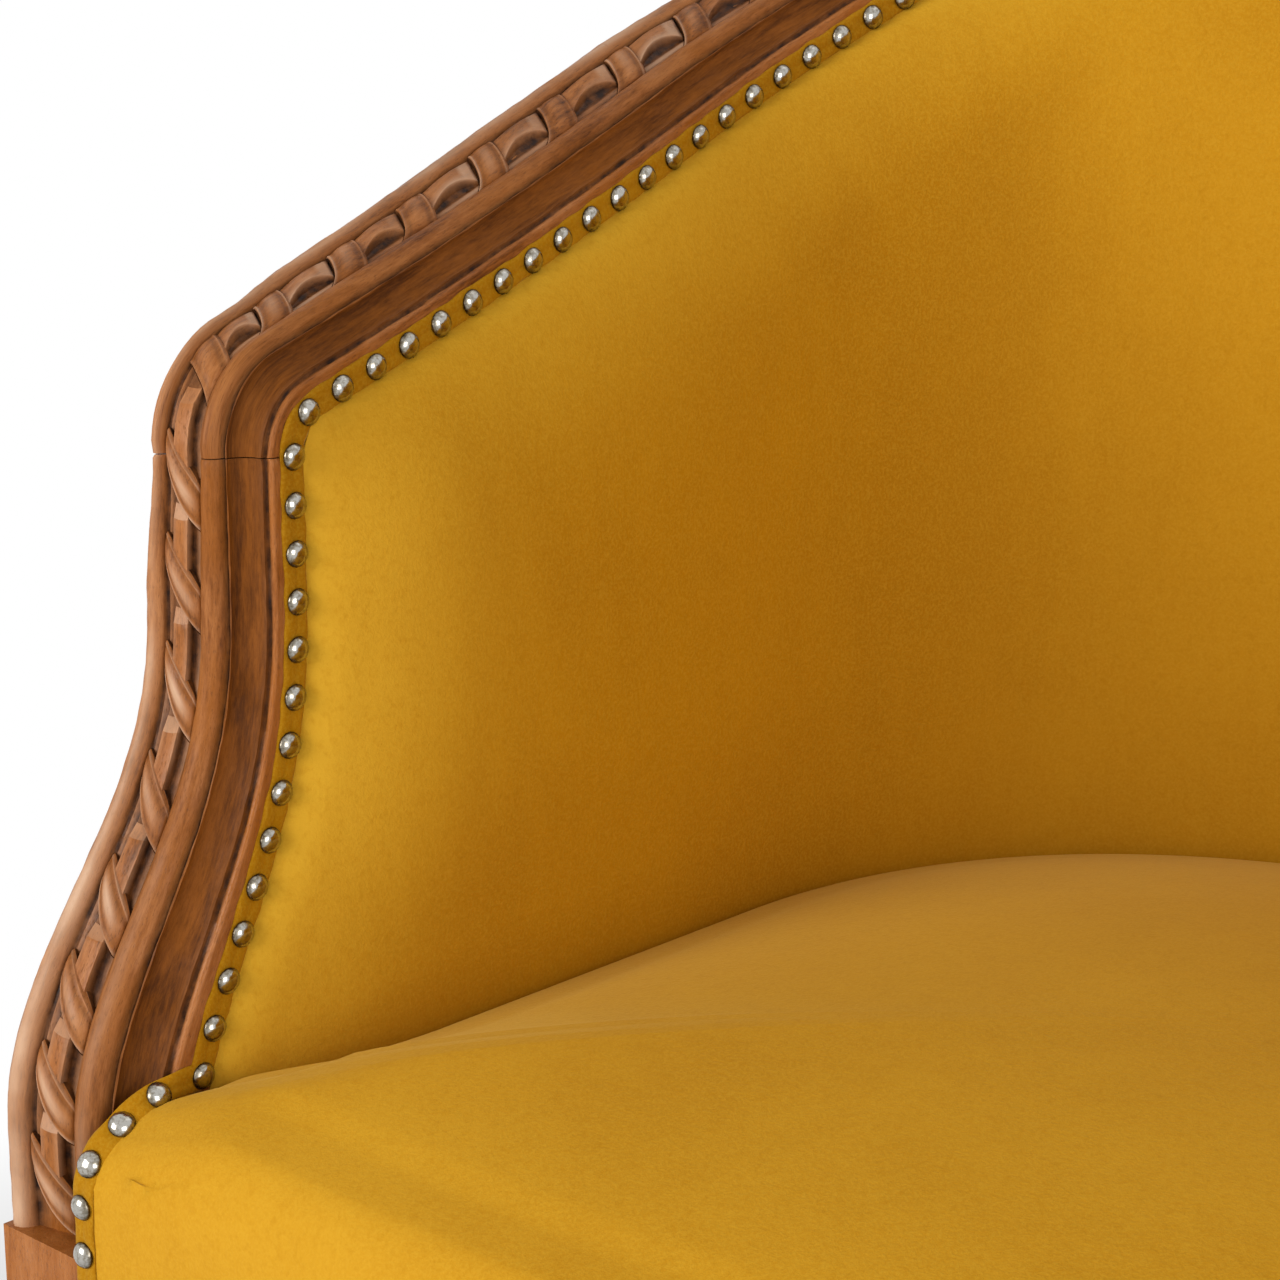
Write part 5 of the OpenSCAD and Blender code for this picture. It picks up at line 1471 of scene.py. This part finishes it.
def stripTree():
    # A turn of ribbon on every point, and a stick that reaches to the next one
    make = Grower("ribbonAndStick", (
        ("Ribbon", "Object"), ("Stick", "Object"), ("Finish", "Material"),
        ("Size Spread", "Float"), ("Sway", "Float"), ("Seed", "Int")))
    given = make.given
    size = make.chance("FLOAT_VECTOR", make.maths("SUBTRACT", 1, given["Size Spread"]), (1, 1, 1))
    sway = make.chance("FLOAT", make.times(given["Sway"], -1), given["Sway"])
    ribbon = make.copied(given["Geometry"], "Ribbon", Rotation=make.vector(Z=sway), Scale=size)
    both = make.add("GeometryNodeJoinGeometry", {0: ribbon})
    shifted = make.moved(make.vector(X=make.named("stickStart")))
    reach = make.vector(X=make.named("stickReach"), Y=1, Z=1)
    make.put(both.inputs[0], make.copied(shifted, "Stick", Scale=reach))
    return make.finish(both.outputs[0])


ribbonAndStick = stripTree()
railPieces = [ribbonWrap(carving["halfWidth"], 0.0), stickLength()]
postPieces = [ribbonWrap(carving["postHalfWidth"], carving["postTips"]), barLength()]


def straightStrip(places, reaches, pieces, begin, seed):
    # Runs the tree on places along a straight line, and returns its points, faces and marks
    carrier = pointCloud("ribbonPlaces", [(x, 0, 0) for x in places],
                         stickStart=np.full(len(places), begin), stickReach=reaches)
    flat = grown(carrier, ribbonAndStick, Ribbon=pieces[0], Stick=pieces[1],
                 Finish=materials["carving"], Size_Spread=carving["sizeSpread"],
                 Sway=carving["sway"], Seed=seed)
    bpy.data.objects.remove(carrier)
    points = pointsOf(flat)
    marks = {key: np.zeros(len(points), np.float32) for key in ("recess", "wearAndHighlight")}
    for key, row in marks.items():
        flat.attributes[key].data.foreach_get("value", row)
    faces = [list(p.vertices) for p in flat.polygons]
    bpy.data.meshes.remove(flat)
    return points, faces, marks


channelMiddle = wood["outerBead"] + wood["channel"] / 2
channelFloor = -channelMiddle * math.tan(wood["tilt"]) - wood["beadHeight"] - 0.0003
fullLine = joined(postStations(heights["blockTop"], postTop, 0.002), skipped(cornerStations(16)),
                  skipped(armStations(cornerEnd, halfLen, 0.003)))
pastCentre = {key: value[:10] for key, value in mirrored(fullLine).items()}
pathLine = joined(fullLine, pastCentre)
pathPoints = placed(pathLine, channelMiddle, channelFloor)
pathRun = runLength(pathPoints)
centreRun = float(pathRun[len(fullLine["point"]) - 1])


def onPath(strip, lean):
    # Bends a straight strip along the channel; the turns lean down towards the inner bead
    x = np.clip(strip[:, 0] - lean * strip[:, 1], pathRun[0], pathRun[-1])
    st = {}
    for key, value in pathLine.items():
        rows = value.reshape(len(pathRun), -1)
        rows = np.column_stack([np.interp(x, pathRun, column) for column in rows.T])
        if key in ("inward", "upward"):
            rows = unit(rows)
        st[key] = rows.reshape(len(x), *value.shape[1:])
    c, s = math.cos(wood["tilt"]), math.sin(wood["tilt"])
    return placed(st, channelMiddle + c * strip[:, 1] + s * strip[:, 2],
                  channelFloor - s * strip[:, 1] + c * strip[:, 2])


places = carving["places"] + [carving["places"][-1] + carving["laterPitch"] * (k + 1)
                              for k in range(carving["laterCount"])]
gaps = np.diff(np.append(places, centreRun))
posts = carving["onPost"]
begin = carving["halfWidth"] * 0.985 + carving["gap"]
strips = [straightStrip(places[posts:], gaps[posts:] - 2 * carving["halfWidth"] * 0.97,
                        railPieces, begin, 61),
          straightStrip(places[:posts], gaps[:posts], postPieces, 0.0, 63),
          straightStrip([centreRun], [0.0], railPieces, 0.0, 62)]
leans = (carving["armLean"], carving["postLean"], 0.0)
hooks = (0.0, carving["postHook"], 0.0)
pieces = []
marks = {"recess": [], "wearAndHighlight": [], "grain": []}
for number, (points, faces, paintedLightAndWear) in enumerate(strips):
    fade = eased(within((centreRun - points[:, 0]) / carving["leanFade"]))
    bow = (points[:, 1] / carving["reach"]) ** 2 - carving["hookMiddle"]
    points[:, 0] += hooks[number] * bow
    part = (onPath(points, leans[number] * fade), faces)
    # The turn over the middle of the back is there once, the others on both sides
    for flip in (False, True)[:1 if number == 2 else 2]:
        pieces.append(flippedPart(part) if flip else part)
        marks["grain"].append(points + [3.1 + 2.6 * flip + 5.2 * number, 0, 0])
        for key in paintedLightAndWear:
            marks[key].append(paintedLightAndWear[key])
marks = {key: np.concatenate(value) for key, value in marks.items()}
marks["cove"] = 0 * marks["recess"]
ribbonPiece = newPiece("carved_ribbon", *stack(pieces), sharp=38, values=marks, turn=False)
dress(ribbonPiece, "carving")
for source in railPieces + postPieces:
    bpy.data.objects.remove(source)
print("ribbon carved:", 2 * len(places) + 1, "turns")


# Outside: the cover stretched over the back of the frame, its bands, and the dust cover
outside = {
    "face": -0.0453,
    "thickness": 0.0012,
    "low": 0.35215,
    "underDrop": 0.017,
    "topDrop": 0.0095,
    "inset": 0.007,
    "hollow": 0.0010,
    "handwork": 0.00025,
    "clear": 0.0005,
    "stripIn": 0.001,
    "columns": 100,
    "rows": 34,
}


def outsideLead(z):
    drop = outside["underDrop"] * growthAt(z) + outside["clear"]
    return sweepAt(z) + drop / np.sin(sweepPitch(z))


def outsideSheets():
    # The cloth dips a little between the frame members that it is nailed to
    s, v = np.meshgrid(halfLen * np.linspace(0, 1, outside["columns"]),
                       np.linspace(0, 1, outside["rows"]), indexing="ij")
    top = belowNails(bent(s, postTop, outsideLead), outside["topDrop"])
    z = outside["low"] + (top - outside["low"]) * v
    dip = outside["hollow"] * np.sin(math.pi * v) ** 0.8 * within(s / 0.05)
    dip = dip + ripple(s, v * 0.05, outside["handwork"], 71) * np.sin(math.pi * v)
    return [bothHalves(spaceAt(bent(s, z, outsideLead), z, outside["face"] + inner + dip))
            for inner in (0, outside["thickness"])]


outer, inner = outsideSheets()
outsideCover = closedShell("outside_velvet", outer, inner)
# Painted sheen on the outside cover, stronger near the posts
edge = fromEnds(len(outer)) * 0.004 + 0 * outer[..., 2]
setLayer(outsideCover.data, "paintedSheen", np.tile((0.35 + 0.3 * bell(edge, 0, 0.04)).ravel(), 2))
dress(outsideCover, "velvet", ["outside_cover"])
cut = lambda grid: float(max(runLength(line)[-1] for line in grid))
clothSize = (cut(outer.transpose(1, 0, 2)), cut(outer))


def outwardAt(s):
    turn = headingAt(s)
    return np.column_stack([-np.cos(turn), np.sin(turn), 0 * turn])


def outsideStrip(s, z, whole, seed):
    points, normals = spaceAt(s, z, outside["face"]), outwardAt(s)
    if whole:
        points, normals = bothHalves(points), bothHalves(normals)
    return bandStrip(points, normals, nailRows["outside_nails"], seed)


lowRow = outside["low"] + outside["inset"]
topDrop = outside["topDrop"] + outside["inset"]
topFront = outsideLead(postTop) + outside["stripIn"]
lowS = np.linspace(outsideLead(lowRow) + outside["stripIn"], halfLen, 330)
topS = np.linspace(topFront, halfLen, 330)
postZ = np.linspace(lowRow + outside["inset"], belowNails(topFront, topDrop) - outside["inset"],
                    150)
postStrip = outsideStrip(outsideLead(postZ) + outside["inset"], postZ, False, 43)
part = stack([outsideStrip(lowS, 0 * lowS + lowRow, True, 41),
              outsideStrip(topS, belowNails(topS, topDrop), True, 42),
              postStrip, flippedPart(postStrip)])
outsideBand = newPiece("outside_band_velvet", *part, sharp=70)
dress(outsideBand, "band", ["outside_band"])

dust = {
    "top": 0.28855,
    "thickness": 0.0010,
    "sag": 0.006,
    "sagReach": 0.09,
    "handwork": 0.0008,
    "grid": 0.022,
    "side": -0.0352,
    "frontIn": -0.012,
    "notch": 0.003,
    "notchHalf": 0.025,
    "legAngle": math.radians(50),
    "cornerS": -0.04048,
}


def dustOutline():
    # Round the frame from the middle of the front, with a notch at each rear leg block
    xs = np.linspace(0, 0.003 - cornerPoint[0], 14)
    front = np.column_stack([-xs, frontY(xs, dust["frontIn"])])
    corners = planAt(np.array([dust["cornerS"]] * 2), np.array([0.002 - seat["blockIn"],
                                                               dust["side"]]))
    side = planAt(np.linspace(0, halfLen, 70), dust["side"])
    centre = np.array([0, plan["backY"]])
    out = np.array([-math.cos(dust["legAngle"]), math.sin(dust["legAngle"])])
    along = np.array([-out[1], out[0]])
    inNotch = np.abs((side - centre) @ along) < dust["notchHalf"] + 0.002
    before = side[:int(np.argmax(inNotch))]
    after = side[len(side) - int(np.argmax(inNotch[::-1])):]
    sign = math.copysign(1, float((before[-1] - centre) @ along))
    far = math.sqrt((backRadius - dust["side"]) ** 2 - dust["notchHalf"] ** 2)
    notch = [centre + r * out + sign * h * dust["notchHalf"] * along
             for r, h in ((far, 1), (backRadius + dust["notch"], 1),
                          (backRadius + dust["notch"], -1), (far, -1))]
    half = np.array([*front, *corners, *before, *notch, *after])
    return np.vstack([half, half[-2:0:-1] * mirror[:2]])


def toRing(points, ring):
    # The distance of each point from a closed outline, and whether it lies inside
    inside = np.zeros(len(points), bool)
    near = np.full(len(points), 1.0)
    for a, b in zip(ring, np.roll(ring, -1, 0)):
        crosses = (a[1] > points[:, 1]) != (b[1] > points[:, 1])
        rise = b[1] - a[1] if b[1] != a[1] else 1e-9
        inside ^= crosses & (points[:, 0] < a[0] + (points[:, 1] - a[1]) / rise * (b[0] - a[0]))
        t = within((points - a) @ (b - a) / max(1e-12, float((b - a) @ (b - a))))
        near = np.minimum(near, np.linalg.norm(points - a - t[:, None] * (b - a), axis=1))
    return near, inside


def dustCloth():
    # Tacked all round under the rails, and hanging a little in the middle
    ring = dustOutline()
    count = len(ring)
    step = dust["grid"]
    grid = np.stack(np.meshgrid(np.arange(-0.36, 0.361, step), np.arange(-0.34, 0.341, step)),
                    -1).reshape(-1, 2)
    near, inside = toRing(grid, ring)
    flat = np.vstack([ring, grid[inside & (near > 0.35 * step)]])
    loop = [(k, (k + 1) % count) for k in range(count)]
    points, _, faces = delaunay_2d_cdt([Vector(p) for p in flat], loop, [list(range(count))], 1,
                                       1e-6)[:3]
    points = np.array([p[:] for p in points])
    near = toRing(points, ring)[0]
    drop = dust["sag"] * (1 - bell(near, 0, dust["sagReach"], 1.3))
    uneven = dust["handwork"] * np.sin(points[:, 0] * 31) * np.sin(points[:, 1] * 27 + 1)
    drop = drop + uneven * near / 0.1
    top = np.column_stack([points, dust["top"] - drop])
    low = top - np.array([0, 0, dust["thickness"]])
    total = len(points)
    solid = [list(f) for f in faces] + [[i + total for i in reversed(f)] for f in faces]
    for a, b in loop:
        solid.append([b, a, a + total, b + total])
    return np.vstack([top, low]), solid


dustCover = newPiece("dust_cloth", *dustCloth(), sharp=60)
dress(dustCover, "lining", ["dust_cover"])
dustSize = np.ptp(pointsOf(dustCover.data)[:, :2], axis=0).tolist()


# Stage, light and camera
view = {
    "azimuth": math.radians(36.377),
    "elevation": math.radians(13.787),
    "place": (0.3681, -0.8983, 0.8181),
    "lens": 78.75,
}
scene = bpy.context.scene
towards = Vector((-math.sin(view["azimuth"]) * math.cos(view["elevation"]),
                  math.cos(view["azimuth"]) * math.cos(view["elevation"]),
                  -math.sin(view["elevation"])))
camera = bpy.data.objects.new("camera", bpy.data.cameras.new("camera"))
camera.data.lens = view["lens"]
camera.data.sensor_width = 36
camera.data.clip_start = 0.01
camera.location = view["place"]
camera.rotation_euler = towards.to_track_quat("-Z", "Y").to_euler()
scene.collection.objects.link(camera)
scene.camera = camera

stage = {
    "radius": 6.0,
    "whiteFrom": 0.75,
    "whiteAt": 1.15,
    "world": 0.42,
    "aim": (0, 0, 0.55),
}
turns = 2 * math.pi * np.arange(64) / 64
rim = np.column_stack([np.cos(turns), np.sin(turns), 0 * turns]) * stage["radius"]
floor = newPiece("floor", rim, [range(64)], turn=False)
ground = Shader("paleFloor", Base_Color=(0.82, 0.82, 0.82, 1), Roughness=0.9,
                Specular_IOR_Level=0.1)


def seenStraight(make):
    # 1 for rays from the camera, from a shiny surface or through a clear one
    rays = make.add("ShaderNodeLightPath").outputs
    seen = make.maths("MAXIMUM", rays["Is Camera Ray"], rays["Is Glossy Ray"])
    return make.maths("MAXIMUM", seen, rays["Is Transmission Ray"])


# The floor turns white towards its edge, where the camera looks past the chair
where = ground.add("ShaderNodeTexCoord").outputs["Object"]
distance = ground.add("ShaderNodeVectorMath", {0: where}, operation="LENGTH").outputs["Value"]
farAway = ground.spread(distance, 0, 1, stage["whiteFrom"], stage["whiteAt"])
white = ground.add("ShaderNodeEmission", {"Color": (1, 1, 1, 1)})
blend = ground.add("ShaderNodeMixShader", {0: ground.times(farAway, seenStraight(ground)),
                                           1: ground.surface.outputs[0], 2: white.outputs[0]})
ground.put(ground.tree.nodes["Material Output"].inputs["Surface"], blend.outputs[0])
floor.data.materials.append(ground.material)

world = bpy.data.worlds.new("studio")
scene.world = world
world.use_nodes = True
sky = Nodes(world.node_tree)
level = sky.add("ShaderNodeMapRange", {"Value": seenStraight(sky), "To Min": stage["world"],
                                       "To Max": 1.0})
background = world.node_tree.nodes["Background"]
sky.put(background.inputs["Color"], (1, 1, 1, 1))
sky.put(background.inputs["Strength"], level.outputs["Result"])


# The place, size and power of each lamp; all of them face the middle of the chair
lamps = {
    "keyLight": ((-1.1, -2.3, 1.25), 1.3, 45.0),
    "fillLight": ((2.0, -1.7, 1.2), 1.5, 33.0),
    "topLight": ((0.2, 0.6, 2.4), 1.4, 2.5),
}
for name, (place, size, power) in lamps.items():
    lamp = bpy.data.lights.new(name, "AREA")
    lamp.size = size
    lamp.energy = power
    holder = bpy.data.objects.new(name, lamp)
    holder.location = place
    turn = (Vector(stage["aim"]) - Vector(place)).to_track_quat("-Z", "Y")
    holder.rotation_euler = turn.to_euler()
    scene.collection.objects.link(holder)
scene.view_settings.view_transform = "Standard"

print("scene ready")
